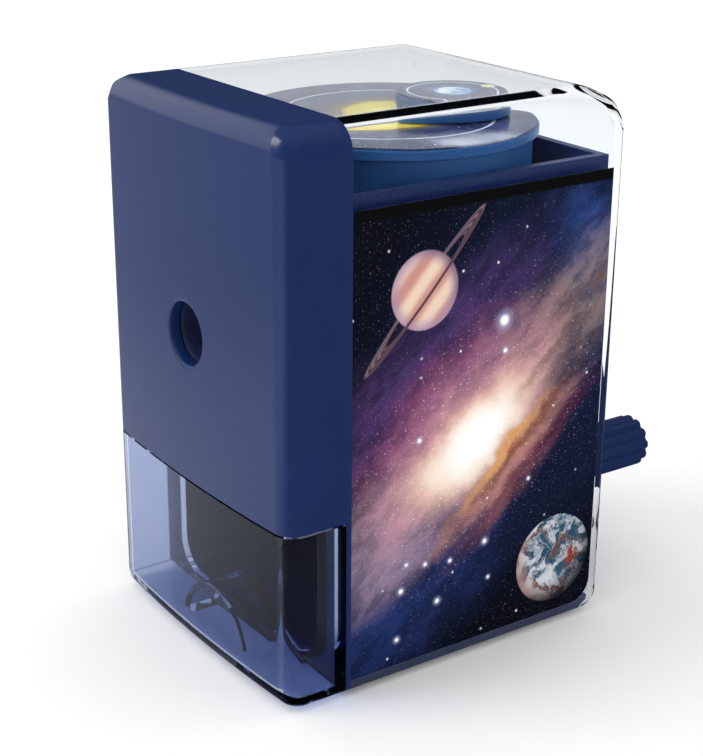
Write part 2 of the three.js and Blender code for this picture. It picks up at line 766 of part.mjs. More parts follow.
// The cutter is a hardened roll with helical teeth on a bore that turns on the spindle.
function cutter() {
  const from = pinionMiddle + CUTTER_TO_PINION + pinionFace / 2 - CUTTER_OVERLAP;
  const points = [];
  for (let i = 0; i < CUTTER_FLUTES; i++) {
    const start = (360 / CUTTER_FLUTES) * i;
    points.push(...arc(0, 0, CUTTER_R, start, start + CUTTER_TIP_DEG, 1));
    const rootDeg = start + CUTTER_ROOT_DEG;
    points.push(...arc(0, 0, CUTTER_R - CUTTER_FLUTE_DEPTH, rootDeg, rootDeg, 1));
  }
  const roll = new THREE.ExtrudeGeometry(outline(points), {
    depth: CUTTER_LENGTH,
    steps: 10,
    bevelEnabled: false,
  });
  const position = roll.attributes.position;
  const spot = new THREE.Vector3();
  const upright = new THREE.Vector3(0, 0, 1);
  for (let i = 0; i < position.count; i++) {
    spot.fromBufferAttribute(position, i);
    spot.applyAxisAngle(upright, (degrees(CUTTER_TWIST_DEG) * spot.z) / CUTTER_LENGTH);
    position.setXYZ(i, spot.x, spot.y, spot.z);
  }
  roll.rotateX(Math.PI / 2).translate(0, from + CUTTER_LENGTH, 0);
  return cut(solid(roll), rodY(0, 0, SPINDLE_R + FIT, from - 1, from + CUTTER_LENGTH + 1, 12));
}

function cutterPinion() {
  const from = pinionMiddle - pinionFace / 2;
  const to = pinionMiddle + pinionFace / 2;
  const teeth = tapered(gearOutline(PINION_TEETH, pinionPitchR), pinionMiddle, from, to, 0);
  return cut(teeth, rodY(0, 0, SPINDLE_R + FIT, from - 1, to + 1, 12));
}

const crank = new THREE.Group();
crank.position.z = AXIS_Z;
casing.add(crank);
const cutterAxis = new THREE.Group();
cutterAxis.position.y = apexY;
cutterAxis.rotation.x = -lean;
crank.add(cutterAxis);

addPiece(casing, "ring_gear", ringGear(), acetal).position.z = AXIS_Z;
for (const [side, x] of [["left", -RING_EAR_X], ["right", RING_EAR_X]])
  addScrew(casing, `ring_screw_${side}`, FLANGE * 2, [x, ringFront + RING_EAR, AXIS_Z]);
addPiece(crank, "cutter_carrier", carrier(), acetal);
addPiece(cutterAxis, "cutter", cutter(), cutterSteel);
addPiece(cutterAxis, "cutter_pinion", cutterPinion(), brass);
addPiece(cutterAxis, "cutter_spindle", rodY(0, 0, SPINDLE_R, spindleFront, spindleBack, 12), steel);

// ---- crank --------------------------------------------------------------------------------

const armFrom = backY + ARM_GAP;
const armTo = armFrom + ARM_THICK;
const shaftEnd = armTo - ARM_END_WALL;

function crankShaft() {
  return cut(
    rodY(0, 0, SHAFT_R, SHAFT_FRONT, shaftEnd - FIT),
    rodY(0, 0, SCREW_R + FIT, shaftEnd - SCREW_LENGTH, shaftEnd + 1, 12),
  );
}

function driveGear() {
  const from = driveY - DRIVE_FACE / 2;
  const to = driveY + DRIVE_FACE / 2;
  const gear = alongY(gearOutline(DRIVE_TEETH, drivePitchR, CROWN_SHARE), from, to);
  return cut(gear, rodY(0, 0, SHAFT_R + FIT, from - 1, to + 1));
}

// The bush's flange lies against the inside of the back wall and its nose shows outside.
function shaftBush() {
  const noseEnd = backY + BUSH_NOSE;
  return turned([
    [SHAFT_R + FIT, housingInnerBack - BUSH_FLANGE],
    [BUSH_FLANGE_R, housingInnerBack - BUSH_FLANGE],
    [BUSH_FLANGE_R, housingInnerBack],
    [BUSH_R, housingInnerBack],
    [BUSH_R, noseEnd],
    [SHAFT_R + FIT, noseEnd],
  ]);
}

// The arm tapers from its hub to the knob's end: the outer tangents of two circles join them.
function crankArm() {
  const leanDeg = THREE.MathUtils.radToDeg(Math.asin((ARM_HUB_R - ARM_END_R) / ARM_LENGTH));
  const plate = outline([
    ...arc(0, 0, ARM_HUB_R, -leanDeg, 180 + leanDeg, 14),
    ...arc(0, -ARM_LENGTH, ARM_END_R, 180 + leanDeg, 360 - leanDeg, 12),
  ]);
  return cut(
    alongY(plate, armFrom, armTo),
    rodY(0, 0, SHAFT_R + FIT, armFrom - 1, shaftEnd),
    rodY(0, 0, SCREW_R + FIT, shaftEnd - 1, armTo + 1, 12),
    rodY(0, -ARM_LENGTH, PIN_R + FIT, armFrom - 1, armTo + 1, 16),
  );
}

function knobPin() {
  const tail = armTo + FIT + PIN_IN_KNOB;
  return solid(
    new THREE.LatheGeometry(
      [
        [0, armFrom - PIN_HEAD],
        [PIN_HEAD_R, armFrom - PIN_HEAD],
        [PIN_HEAD_R, armFrom],
        [PIN_R, armFrom],
        [PIN_R, tail],
        [0, tail],
      ].map(([r, y]) => new THREE.Vector2(r, y)),
      16,
    ),
  );
}

// The knob's flutes run its whole length, and its far end is chamfered and closed.
function knob() {
  const points = [];
  const groove = KNOB_R - KNOB_FLUTE_DEPTH;
  const pitchDeg = 360 / KNOB_FLUTES;
  const ridgeDeg = pitchDeg * KNOB_RIDGE_SHARE;
  const grooveDeg = pitchDeg * KNOB_GROOVE_SHARE;
  const flankDeg = (pitchDeg - ridgeDeg - grooveDeg) / 2;
  for (let i = 0; i < KNOB_FLUTES; i++) {
    const start = pitchDeg * i;
    const bottom = start + ridgeDeg + flankDeg;
    points.push(...arc(0, 0, KNOB_R, start, start + ridgeDeg, 2));
    points.push(...arc(0, 0, groove, bottom, bottom + grooveDeg, 1));
  }
  const from = armTo + FIT;
  const to = from + KNOB_LENGTH;
  const body = alongY(outline(points), from, to);
  const cone = turned(
    [
      [0, from - 1],
      [KNOB_R + 1, from - 1],
      [KNOB_R + 1, to - KNOB_CHAMFER - 1],
      [KNOB_R - KNOB_CHAMFER, to],
      [KNOB_R - KNOB_CHAMFER * 3, to + 0.01],
      [0, to + 0.01],
    ],
    ROUND,
  );
  return cut(common(body, cone), rodY(0, 0, PIN_R + FIT, from - 1, from + PIN_IN_KNOB + FIT, 16));
}

const drivePitchR = (GEAR_MODULE * DRIVE_TEETH) / 2;
const crownPitchR = (GEAR_MODULE * CROWN_TEETH) / 2;
const driveY = TABLE_Y + crownPitchR;

addPiece(casing, "shaft_bush", shaftBush(), acetal).position.z = AXIS_Z;
addPiece(crank, "crank_shaft", crankShaft(), steel);
addPiece(crank, "drive_gear", driveGear(), acetal);
const arm = new THREE.Group();
arm.rotation.y = degrees(ARM_REST_DEG);
crank.add(arm);
addPiece(arm, "crank_arm", crankArm(), deepNavy);
addScrew(arm, "crank_screw", SCREW_LENGTH - 1, [0, armTo, 0]);
addPiece(arm, "knob_pin", knobPin(), steel).position.z = -ARM_LENGTH;
addPiece(arm, "knob", knob(), navy).position.z = -ARM_LENGTH;

// ---- orrery -------------------------------------------------------------------------------

const crownPitchZ = AXIS_Z + drivePitchR;
const crownUnder = crownPitchZ + TOOTH_ROOT * GEAR_MODULE;
const crownTop = crownUnder + CROWN_PLATE;
const tableUnder = TABLE_TOP - PRINT - TABLE_PLATE;
const drumLow = DECK_TOP + DRUM_ABOVE_DECK;
const sunTop = DECK_TOP + PLANET_FACE;
const hubLow = DECK_TOP + DECK_HUB + FIT;

// The crown gear's teeth point down and a space faces +Y, where the drive gear's upper tooth stands.
function crownGear() {
  const half = (CROWN_SHARE * Math.PI * GEAR_MODULE) / 2;
  const tip = TOOTH_TIP * GEAR_MODULE;
  const root = crownUnder - crownPitchZ;
  const section = outline([
    [-half - root * TOOTH_SLOPE, crownUnder + 0.5],
    [-half - root * TOOTH_SLOPE, crownUnder],
    [-half + tip * TOOTH_SLOPE, crownPitchZ - tip],
    [half - tip * TOOTH_SLOPE, crownPitchZ - tip],
    [half + root * TOOTH_SLOPE, crownUnder],
    [half + root * TOOTH_SLOPE, crownUnder + 0.5],
  ]);
  const outerR = crownPitchR + CROWN_FACE / 2;
  const tooth = geometryOf(alongY(section, outerR - CROWN_FACE, outerR - EDGE_GAP));
  const teeth = [];
  for (let i = 0; i < CROWN_TEETH; i++)
    teeth.push(solid(tooth.clone().rotateZ((2 * Math.PI * (i + 0.5)) / CROWN_TEETH)));
  const plate = rodZ(0, 0, outerR, crownUnder, crownTop, FINE_ROUND);
  return cut(join(plate, ...teeth), rodZ(0, 0, AXLE_R + FIT, crownUnder - 1, crownTop + 1, 16));
}

// The deck rests on the housing's ledges and carries the spindle in a hub and the sun gear on its top.
function deck() {
  const x = housingInnerX - FIT;
  const plate = box(-x, x, bulkheadY + FIT, housingInnerBack - FIT, deckUnder, DECK_TOP);
  const hub = rodZ(0, TABLE_Y, DECK_HUB_R, crownTop + FIT, DECK_TOP + DECK_HUB);
  return cut(join(plate, hub), rodZ(0, TABLE_Y, AXLE_R + FIT, crownTop, DECK_TOP + DECK_HUB + 1, 16));
}

const gearSum = SUN_TEETH + PLANET_TEETH;
const sunPitchR = (PLANET_ORBIT * SUN_TEETH) / gearSum;
const planetPitchR = (PLANET_ORBIT * PLANET_TEETH) / gearSum;

function sunGear() {
  const gear = alongZ(gearOutline(SUN_TEETH, sunPitchR), DECK_TOP, sunTop);
  return cut(gear, rodZ(0, 0, DECK_HUB_R + FIT, DECK_TOP - 1, sunTop + 1));
}

// The planet gear's collar reaches up to the turntable's underside and keeps the gear level.
function planetGear() {
  const halfTooth = Math.PI / PLANET_TEETH;
  const flat = new THREE.Matrix4().makeRotationZ(Math.PI + halfTooth);
  const low = DECK_TOP + 2 * FIT;
  const teeth = alongZ(gearOutline(PLANET_TEETH, planetPitchR), low, low + PLANET_FACE);
  const turnedTeeth = solid(geometryOf(teeth).applyMatrix4(flat));
  const collar = rodZ(0, 0, COLLAR_R, low + 1, tableUnder - FIT);
  return cut(join(turnedTeeth, collar), rodZ(0, 0, AXLE_R + FIT, low - 1, tableUnder + 1, 16));
}

// The turntable: a disc on a drum that hides the gears, with a blind hub for the spindle.
function turntable() {
  const drumInner = DRUM_R - DRUM_WALL;
  const profile = [
    [0, TABLE_TOP - PRINT - 1],
    [AXLE_R + FIT, TABLE_TOP - PRINT - 1],
    [AXLE_R + FIT, hubLow],
    [TABLE_HUB_R, hubLow],
    [TABLE_HUB_R, tableUnder],
    [drumInner, tableUnder],
    [drumInner, drumLow],
    [DRUM_R, drumLow],
    [DRUM_R, tableUnder],
    [TABLE_R, tableUnder],
    [TABLE_R, TABLE_TOP - PRINT],
    [0, TABLE_TOP - PRINT],
  ].map(([r, z]) => new THREE.Vector2(r, z));
  const body = solid(new THREE.LatheGeometry(profile, FINE_ROUND).rotateX(Math.PI / 2));
  return cut(body, planetHole(AXLE_R + FIT, tableUnder - 1, TABLE_TOP + 1));
}

function planetHole(radius, fromZ, toZ) {
  const angle = degrees(90 + PLANET_DEG);
  return rodZ(PLANET_ORBIT * Math.cos(angle), PLANET_ORBIT * Math.sin(angle), radius, fromZ, toZ, 16);
}

const planetLow = TABLE_TOP + FIT;
const planetTop = planetLow + PLANET_DISC - PRINT;
const axleEnd = planetLow + PLANET_DISC / 2;

const table = new THREE.Group();
table.position.y = TABLE_Y;
casing.add(table);
const planetArm = new THREE.Group();
planetArm.rotation.z = degrees(PLANET_DEG);
table.add(planetArm);
const planet = new THREE.Group();
planet.position.y = PLANET_ORBIT;
planetArm.add(planet);

addPiece(casing, "deck", deck(), deepNavy);
addPiece(planetArm, "sun_gear", sunGear(), acetal);
addPiece(table, "crown_gear", crownGear(), acetal);
addPiece(table, "turntable_spindle", rodZ(0, 0, AXLE_R, crownUnder, TABLE_TOP - PRINT - 1 - FIT, 16), steel);
addPiece(table, "turntable", turntable(), navy);
const tablePrint = cut(
  rodZ(0, 0, TABLE_R - SEAM, TABLE_TOP - PRINT, TABLE_TOP, FINE_ROUND),
  planetHole(AXLE_R + 2 * FIT, TABLE_TOP - 1, TABLE_TOP + 1),
);
addPiece(table, "turntable_print", tablePrint, skyPrint);
addPiece(planet, "planet_gear", planetGear(), acetal);
addPiece(planet, "planet_spindle", rodZ(0, 0, AXLE_R, DECK_TOP + 2 * FIT, axleEnd, 16), steel);
const planetDisc = cut(
  rodZ(0, 0, PLANET_DISC_R, planetLow, planetTop, FINE_ROUND),
  rodZ(0, 0, AXLE_R + FIT, planetLow - 1, axleEnd + FIT, 16),
);
addPiece(planet, "planet_disc", planetDisc, navy);
const planetFilm = rodZ(0, 0, PLANET_DISC_R - SEAM, planetTop, planetTop + PRINT, FINE_ROUND);
addPiece(planet, "planet_print", planetFilm, skyPrint);

export default sharpener;
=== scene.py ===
import json
import math

import bmesh
import bpy
from mathutils import Matrix, Vector

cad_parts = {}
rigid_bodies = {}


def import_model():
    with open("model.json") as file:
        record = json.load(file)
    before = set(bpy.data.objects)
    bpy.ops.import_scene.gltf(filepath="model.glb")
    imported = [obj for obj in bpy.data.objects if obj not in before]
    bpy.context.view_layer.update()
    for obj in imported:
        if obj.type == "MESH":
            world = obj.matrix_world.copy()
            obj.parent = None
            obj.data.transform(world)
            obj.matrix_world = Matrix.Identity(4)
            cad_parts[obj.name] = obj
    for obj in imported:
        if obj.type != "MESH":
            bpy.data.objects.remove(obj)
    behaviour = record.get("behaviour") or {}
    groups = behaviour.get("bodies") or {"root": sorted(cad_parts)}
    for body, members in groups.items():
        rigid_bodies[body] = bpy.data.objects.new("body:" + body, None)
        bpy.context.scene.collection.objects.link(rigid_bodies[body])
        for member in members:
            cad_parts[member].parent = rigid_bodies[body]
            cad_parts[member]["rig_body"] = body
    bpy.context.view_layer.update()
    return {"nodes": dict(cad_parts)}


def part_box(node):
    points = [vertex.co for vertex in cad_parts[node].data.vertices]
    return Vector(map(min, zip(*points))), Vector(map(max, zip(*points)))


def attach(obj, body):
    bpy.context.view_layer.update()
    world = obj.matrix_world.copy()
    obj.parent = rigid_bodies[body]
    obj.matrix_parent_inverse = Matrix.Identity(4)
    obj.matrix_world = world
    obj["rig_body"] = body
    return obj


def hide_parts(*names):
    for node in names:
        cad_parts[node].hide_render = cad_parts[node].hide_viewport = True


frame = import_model()

# ---- front cover ---------------------------------------------------------------------------
# The front cover is one navy ABS moulding with a soft gloss. Its face is slightly crowned and its
# edges are rounded. It is screwed on from behind, and the pencil goes in through its flared mouth.

MM = 0.001
PAD_PROUD = 0.8 * MM
HALF_WIDTH = 33.1 * MM
FRONT_Y = -38.7 * MM
BACK_Y = 38.7 * MM
HEIGHT = 110 * MM
CROWN = 1.4 * MM
CROWN_COLUMN = 2.5 * MM
CROWN_COLUMNS = 10
SEAM_Y = -25.7 * MM
HOOD_Y = -24.7 * MM
COVER_LOW = 36.9 * MM
COVER_WALL = 2.2 * MM
AXIS_Z = 66.8 * MM
MOUTH_R = 6 * MM
MOUTH_LIP = 0.9 * MM
MOUTH_ROW = 9 * MM
GUIDE_R = 9 * MM
COLLAR_R = 11 * MM
COLLAR_DEPTH = 3 * MM
COLLAR_ROOT = 0.5 * MM
GUIDE_SEAT_R = 9.3 * MM
POST_R = 2.8 * MM
POST_ROOT = 0.2 * MM
PILOT_DEPTH = 8 * MM
SCREW_HOLE_R = 1.5 * MM
COVER_SCREW_X = 24 * MM
COVER_SCREW_Z = (45.8 * MM, 84.8 * MM)
NAVY = "#102555"


def start_edit(obj):
    bpy.ops.object.select_all(action="DESELECT")
    bpy.context.view_layer.objects.active = obj
    obj.select_set(True)
    bpy.ops.object.mode_set(mode="EDIT")


def end_edit():
    bpy.ops.object.mode_set(mode="OBJECT")


def block(name, low, high):
    """A cube from its low corner to its high corner, with its place in its mesh."""
    bpy.ops.object.select_all(action="DESELECT")
    size = Vector(high) - Vector(low)
    middle = (Vector(high) + Vector(low)) / 2
    bpy.ops.mesh.primitive_cube_add(size=1, location=middle, scale=size)
    obj = bpy.context.active_object
    bpy.ops.object.transform_apply(location=True, rotation=True, scale=True)
    obj.name = name
    obj.data.name = name
    return obj


def slice_at(obj, point, normal, keep_behind=None, fill=False):
    """Cuts all of a mesh at a plane, and drops the side in front of it or behind it if asked."""
    start_edit(obj)
    bpy.ops.mesh.select_all(action="SELECT")
    bpy.ops.mesh.bisect(
        plane_co=point,
        plane_no=normal,
        use_fill=fill,
        clear_outer=keep_behind is True,
        clear_inner=keep_behind is False,
        threshold=1e-7,
    )
    end_edit()


def apply(obj, kind, **settings):
    """Adds a modifier with its settings and applies it."""
    bpy.ops.object.select_all(action="DESELECT")
    bpy.context.view_layer.objects.active = obj
    obj.select_set(True)
    modifier = obj.modifiers.new(kind.title(), kind)
    for key, value in settings.items():
        setattr(modifier, key, value)
    bpy.ops.object.modifier_apply(modifier=modifier.name)


def weigh_edges(obj, rule):
    """Gives each edge the bevel weight that the rule returns for its two ends."""
    weights = obj.data.attributes.new("bevel_weight_edge", "FLOAT", "EDGE")
    for edge in obj.data.edges:
        ends = [obj.data.vertices[i].co for i in edge.vertices]
        weights.data[edge.index].value = rule(*ends)


def smooth(obj, degrees=32):
    """Shades a piece smooth up to an angle. Its large faces stay flat, and its fillets take the turn."""
    bpy.ops.object.select_all(action="DESELECT")
    bpy.context.view_layer.objects.active = obj
    obj.select_set(True)
    bpy.ops.object.shade_smooth_by_angle(angle=math.radians(degrees))
    apply(obj, "WEIGHTED_NORMAL", mode="FACE_AREA", weight=80, keep_sharp=True)


def copy_of(obj, name):
    """A copy with its own mesh."""
    twin = obj.copy()
    twin.data = obj.data.copy()
    twin.name = name
    twin.data.name = name
    bpy.context.collection.objects.link(twin)
    return twin


def take_away(obj, *tools):
    """Cuts each tool's shape out of a piece, and removes the tool."""
    for tool in tools:
        apply(obj, "BOOLEAN", object=tool, operation="DIFFERENCE", solver="MANIFOLD")
        bpy.data.objects.remove(tool)


def add_on(obj, *others):
    """Joins each other solid to a piece, and removes it."""
    for other in others:
        apply(obj, "BOOLEAN", object=other, operation="UNION", solver="MANIFOLD")
        bpy.data.objects.remove(other)


def fine_edges(obj, width, segments=3, degrees=40):
    """Rounds every sharp edge a little, as a mould's edges are."""
    apply(
        obj,
        "BEVEL",
        width=width,
        segments=segments,
        limit_method="ANGLE",
        angle_limit=math.radians(degrees),
        miter_outer="MITER_ARC",
        use_clamp_overlap=True,
    )


def turn_profile(name, profile, centre, along, steps=96):
    """A turned piece: a line through (radius, distance) points, spun about an axis through centre."""
    bpy.ops.object.select_all(action="DESELECT")
    bpy.ops.mesh.primitive_plane_add(size=MM)
    obj = bpy.context.active_object
    obj.name = name
    obj.data.name = name
    centre = Vector(centre)
    along = Vector(along).normalized()
    out = along.orthogonal().normalized()
    points = [centre + out * radius + along * distance for radius, distance in profile]
    start_edit(obj)
    bpy.ops.mesh.merge(type="CENTER")
    bpy.ops.transform.translate(value=points[0])
    for here, there in zip(points, points[1:]):
        bpy.ops.mesh.extrude_vertices_move(TRANSFORM_OT_translate={"value": there - here})
    bpy.ops.mesh.select_all(action="SELECT")
    bpy.ops.mesh.spin(steps=steps, angle=2 * math.pi, center=centre, axis=along)
    bpy.ops.mesh.select_all(action="SELECT")
    bpy.ops.mesh.remove_doubles(threshold=1e-6)
    bpy.ops.mesh.normals_make_consistent(inside=False)
    end_edit()
    return obj


def rod_along_y(name, x, z, radius, low, high, sides=48):
    return turn_profile(
        name, [(0, low), (radius, low), (radius, high), (0, high)], (x, 0, z), (0, 1, 0), sides
    )


def to_linear(code):
    """An sRGB hex colour as linear RGBA."""
    parts = [int(code[i : i + 2], 16) / 255 for i in (1, 3, 5)]
    return [p / 12.92 if p <= 0.04045 else ((p + 0.055) / 1.055) ** 2.4 for p in parts] + [1]


def node(tree, kind, settings=None, inputs=None):
    """Adds a node. Settings are its properties, and inputs are values or the sockets linked in."""
    made = tree.nodes.new(kind)
    for key, value in (settings or {}).items():
        setattr(made, key, value)
    for key, value in (inputs or {}).items():
        if isinstance(value, bpy.types.NodeSocket):
            tree.links.new(value, made.inputs[key])
        else:
            made.inputs[key].default_value = value
    return made


def new_finish(name):
    """An empty material, its node tree and its output node."""
    finish = bpy.data.materials.new(name)
    finish.use_nodes = True
    finish.node_tree.nodes.clear()
    return finish, finish.node_tree, node(finish.node_tree, "ShaderNodeOutputMaterial")


# The rounded box that the cover, the drawer's front, the flange and the hood are all parts of.
# Each edge has its own radius: the weight is its share of the largest one.
EDGE_RADII = {
    "front_corner": 3.8 * MM,
    "back_corner": 2.4 * MM,
    "top_side": 6 * MM,
    "bottom_side": 2 * MM,
    "front_top": 4.5 * MM,
    "front_bottom": 3.5 * MM,
    "back_top": 9.5 * MM,
    "back_bottom": 5.5 * MM,
}
LARGEST_RADIUS = max(EDGE_RADII.values())
CASE_LOW = PAD_PROUD
CASE_HIGH = PAD_PROUD + HEIGHT


def crown_at(x):
    """How far the face stands forward of its corners at x."""
    return CROWN * (1 - (x / HALF_WIDTH) ** 2)


def case_edge_weight(a, b):
    near = 1e-6
    at_side = all(abs(abs(p.x) - HALF_WIDTH) < near for p in (a, b))
    at_top = all(abs(p.z - CASE_HIGH) < near for p in (a, b))
    at_bottom = all(abs(p.z - CASE_LOW) < near for p in (a, b))
    at_front = all(abs(p.y - (FRONT_Y - crown_at(p.x))) < near for p in (a, b))
    at_back = all(abs(p.y - BACK_Y) < near for p in (a, b))
    for first, second, edge in (
        (at_side, at_front, "front_corner"),
        (at_side, at_back, "back_corner"),
        (at_side, at_top, "top_side"),
        (at_side, at_bottom, "bottom_side"),
        (at_top, at_front, "front_top"),
        (at_bottom, at_front, "front_bottom"),
        (at_top, at_back, "back_top"),
        (at_bottom, at_back, "back_bottom"),
    ):
        if first and second:
            return EDGE_RADII[edge] / LARGEST_RADIUS
    return 0


case = block("case", (-HALF_WIDTH, FRONT_Y, CASE_LOW), (HALF_WIDTH, BACK_Y, CASE_HIGH))
for column in range(-CROWN_COLUMNS, CROWN_COLUMNS + 1):
    slice_at(case, (column * CROWN_COLUMN, 0, 0), (1, 0, 0))
for vertex in case.data.vertices:
    if vertex.co.y < 0:
        vertex.co.y -= crown_at(vertex.co.x)
weigh_edges(case, case_edge_weight)
apply(
    case,
    "BEVEL",
    width=LARGEST_RADIUS,
    segments=14,
    limit_method="WEIGHT",
    use_clamp_overlap=False,
)

cover = copy_of(case, "front_cover_shell")
slice_at(cover, (0, 0, COVER_LOW), (0, 0, 1), keep_behind=False, fill=True)
slice_at(cover, (0, SEAM_Y, 0), (0, 1, 0), keep_behind=True)
for row in (-2, -1, 1, 2):
    slice_at(cover, (0, 0, AXIS_Z + row * MOUTH_ROW), (0, 0, 1))
apply(cover, "SOLIDIFY", thickness=COVER_WALL, offset=-1, use_even_offset=True)
mouth = turn_profile(
    "mouth",
    [
        (0, -2 * MM),
        (MOUTH_R + MOUTH_LIP, -2 * MM),
        (MOUTH_R + MOUTH_LIP, 0),
        (MOUTH_R + MOUTH_LIP * 0.3, MOUTH_LIP * 0.3),
        (MOUTH_R, MOUTH_LIP),
        (MOUTH_R, 5 * MM),
        (0, 5 * MM),
    ],
    (0, FRONT_Y - CROWN, AXIS_Z),
    (0, 1, 0),
)
inner_face = FRONT_Y - CROWN + COVER_WALL
collar = rod_along_y("collar", 0, AXIS_Z, COLLAR_R, inner_face - COLLAR_ROOT, inner_face + COLLAR_DEPTH)
guide_seat = rod_along_y("guide_seat", 0, AXIS_Z, GUIDE_SEAT_R, inner_face, inner_face + COLLAR_DEPTH + MM)
posts = []
pilot_holes = []
for x in (-COVER_SCREW_X, COVER_SCREW_X):
    for z in COVER_SCREW_Z:
        posts.append(rod_along_y("post", x, z, POST_R, inner_face - POST_ROOT, SEAM_Y, 32))
        pilot_holes.append(rod_along_y("pilot", x, z, SCREW_HOLE_R, SEAM_Y - PILOT_DEPTH, SEAM_Y + MM, 24))
add_on(cover, collar, *posts)
take_away(cover, guide_seat, mouth, *pilot_holes)
fine_edges(cover, 0.25 * MM)
smooth(cover)


def moulded_plastic(name, colour, second, gloss, grain, relief=0.05, ior=1.54):
    """Opaque moulded plastic. Its tone drifts a little, and a fine eroded grain breaks up the gloss."""
    finish, tree, output = new_finish(name)
    place = node(tree, "ShaderNodeTexCoord").outputs["Object"]
    grit = node(
        tree,
        "ShaderNodeTexNoise",
        inputs={"Vector": place, "Scale": 1 / grain, "Detail": 4, "Roughness": 0.6},
    ).outputs["Fac"]
    drift = node(
        tree,
        "ShaderNodeTexNoise",
        inputs={"Vector": place, "Scale": 1 / (22 * MM), "Detail": 3},
    ).outputs["Fac"]
    tint = node(
        tree,
        "ShaderNodeMix",
        {"data_type": "RGBA"},
        {0: drift, 6: to_linear(colour), 7: to_linear(second)},
    )
    shine = node(
        tree,
        "ShaderNodeMapRange",
        inputs={"Value": grit, "To Min": gloss[0], "To Max": gloss[1]},
    )
    bump = node(
        tree,
        "ShaderNodeBump",
        inputs={"Strength": relief, "Distance": 0.02 * MM, "Height": grit},
    )
    body = node(
        tree,
        "ShaderNodeBsdfPrincipled",
        inputs={
            "Base Color": tint.outputs[2],
            "Roughness": shine.outputs["Result"],
            "IOR": ior,
            "Normal": bump.outputs["Normal"],
        },
    )
    tree.links.new(body.outputs["BSDF"], output.inputs["Surface"])
    return finish


def calm_gloss(finish, level=0.12):
    """A satin texture scatters what would be mirrored, so that inner faces keep their own colour."""
    for made in finish.node_tree.nodes:
        if made.bl_idname == "ShaderNodeBsdfPrincipled":
            made.inputs["Specular IOR Level"].default_value = level


def place_piece(piece, finish, body, material_slot, *nodes):
    """Gives a piece its finish, sets it on its body and lets it stand for its CAD nodes."""
    piece.data.materials.clear()
    piece.data.materials.append(finish)
    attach(piece, body)
    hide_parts(*nodes)


navy_abs = moulded_plastic("navy_abs_gloss_moulding", NAVY, "#132a5d", (0.2, 0.29), 0.9 * MM)
place_piece(cover, navy_abs, "housing", "navy_abs", "front_cover")

# ---- pencil guide --------------------------------------------------------------------------
# The guide is a stepped ABS tube in the cover's collar. The pencil passes its flared front, and the
# cutting head's hub turns in its wide end.

GUIDE_FROM = -37.6 * MM
GUIDE_TO = -29.2 * MM
GUIDE_BORE_R = 5.2 * MM
GUIDE_STEP = -31.6 * MM
HUB_BORE_R = 6.7 * MM
FLARE = 0.5 * MM

guide = turn_profile(
    "pencil_guide_tube",
    [
        (GUIDE_BORE_R + FLARE, GUIDE_FROM),
        (GUIDE_R, GUIDE_FROM),
        (GUIDE_R, GUIDE_TO),
        (HUB_BORE_R, GUIDE_TO),
        (HUB_BORE_R, GUIDE_STEP),
        (GUIDE_BORE_R, GUIDE_STEP),
        (GUIDE_BORE_R, GUIDE_FROM + 2 * FLARE),
        (GUIDE_BORE_R + FLARE, GUIDE_FROM),
    ],
    (0, 0, AXIS_Z),
    (0, 1, 0),
)
smooth(guide)
inner_navy = moulded_plastic("inner_navy_abs_satin_moulding", "#141f45", "#18264f", (0.38, 0.5), 0.7 * MM)
place_piece(guide, inner_navy, "housing", "inner_navy_abs", "pencil_guide")

# ---- inner housing -------------------------------------------------------------------------
# One navy ABS moulding carries everything. Its flange shows as a fine line between cover and hood.
# Behind it are the bulkhead, the walls, the chute roof, the drawer's rails and the deck's ledges.

TRAY_HALF = 27 * MM
BAY_HALF = 27.4 * MM
BAY_LOW = 3.2 * MM
BAY_HIGH = 35.8 * MM
BAY_CORNER_R = 8 * MM
BULKHEAD_HOLE_R = 17.8 * MM


def outward_sharp(piece, degrees):
    """Weighs the edges that stand outwards and are sharper than an angle."""
    mesh = bmesh.new()
    mesh.from_mesh(piece.data)
    layer = mesh.edges.layers.float.new("bevel_weight_edge")
    limit = math.radians(degrees)
    for edge in mesh.edges:
        if len(edge.link_faces) == 2 and edge.is_convex and edge.calc_face_angle(0) > limit:
            edge[layer] = 1
    mesh.to_mesh(piece.data)
    mesh.free()


def softened(source, name, width, segments=2, degrees=35):
    """A copy of a CAD node, merged, with the edges that its mould or tool rounded made round."""
    piece = bpy.data.objects.new(name, frame["nodes"][source].data.copy())
    piece.data.name = name
    bpy.context.collection.objects.link(piece)
    start_edit(piece)
    bpy.ops.mesh.select_all(action="SELECT")
    bpy.ops.mesh.remove_doubles(threshold=1e-6)
    bpy.ops.mesh.dissolve_limited(angle_limit=math.radians(0.5))
    end_edit()
    outward_sharp(piece, degrees)
    apply(
        piece,
        "BEVEL",
        width=width,
        segments=segments,
        limit_method="WEIGHT",
        use_clamp_overlap=True,
    )
    smooth(piece, 30)
    return piece


def rounded_block(name, low, high, radius, rounded):
    """A block whose edges that satisfy a rule on their two ends are rounded to one radius."""
    piece = block(name, low, high)
    weigh_edges(piece, lambda a, b: 1 if rounded(a, b) else 0)
    apply(piece, "BEVEL", width=radius, segments=8, limit_method="WEIGHT")
    return piece


def low_long_edge(low):
    """A rule for the two edges that run along Y at a block's underside."""
    return lambda a, b: max(a.z, b.z) < low + 1e-6 and abs(a.y - b.y) > 1e-6


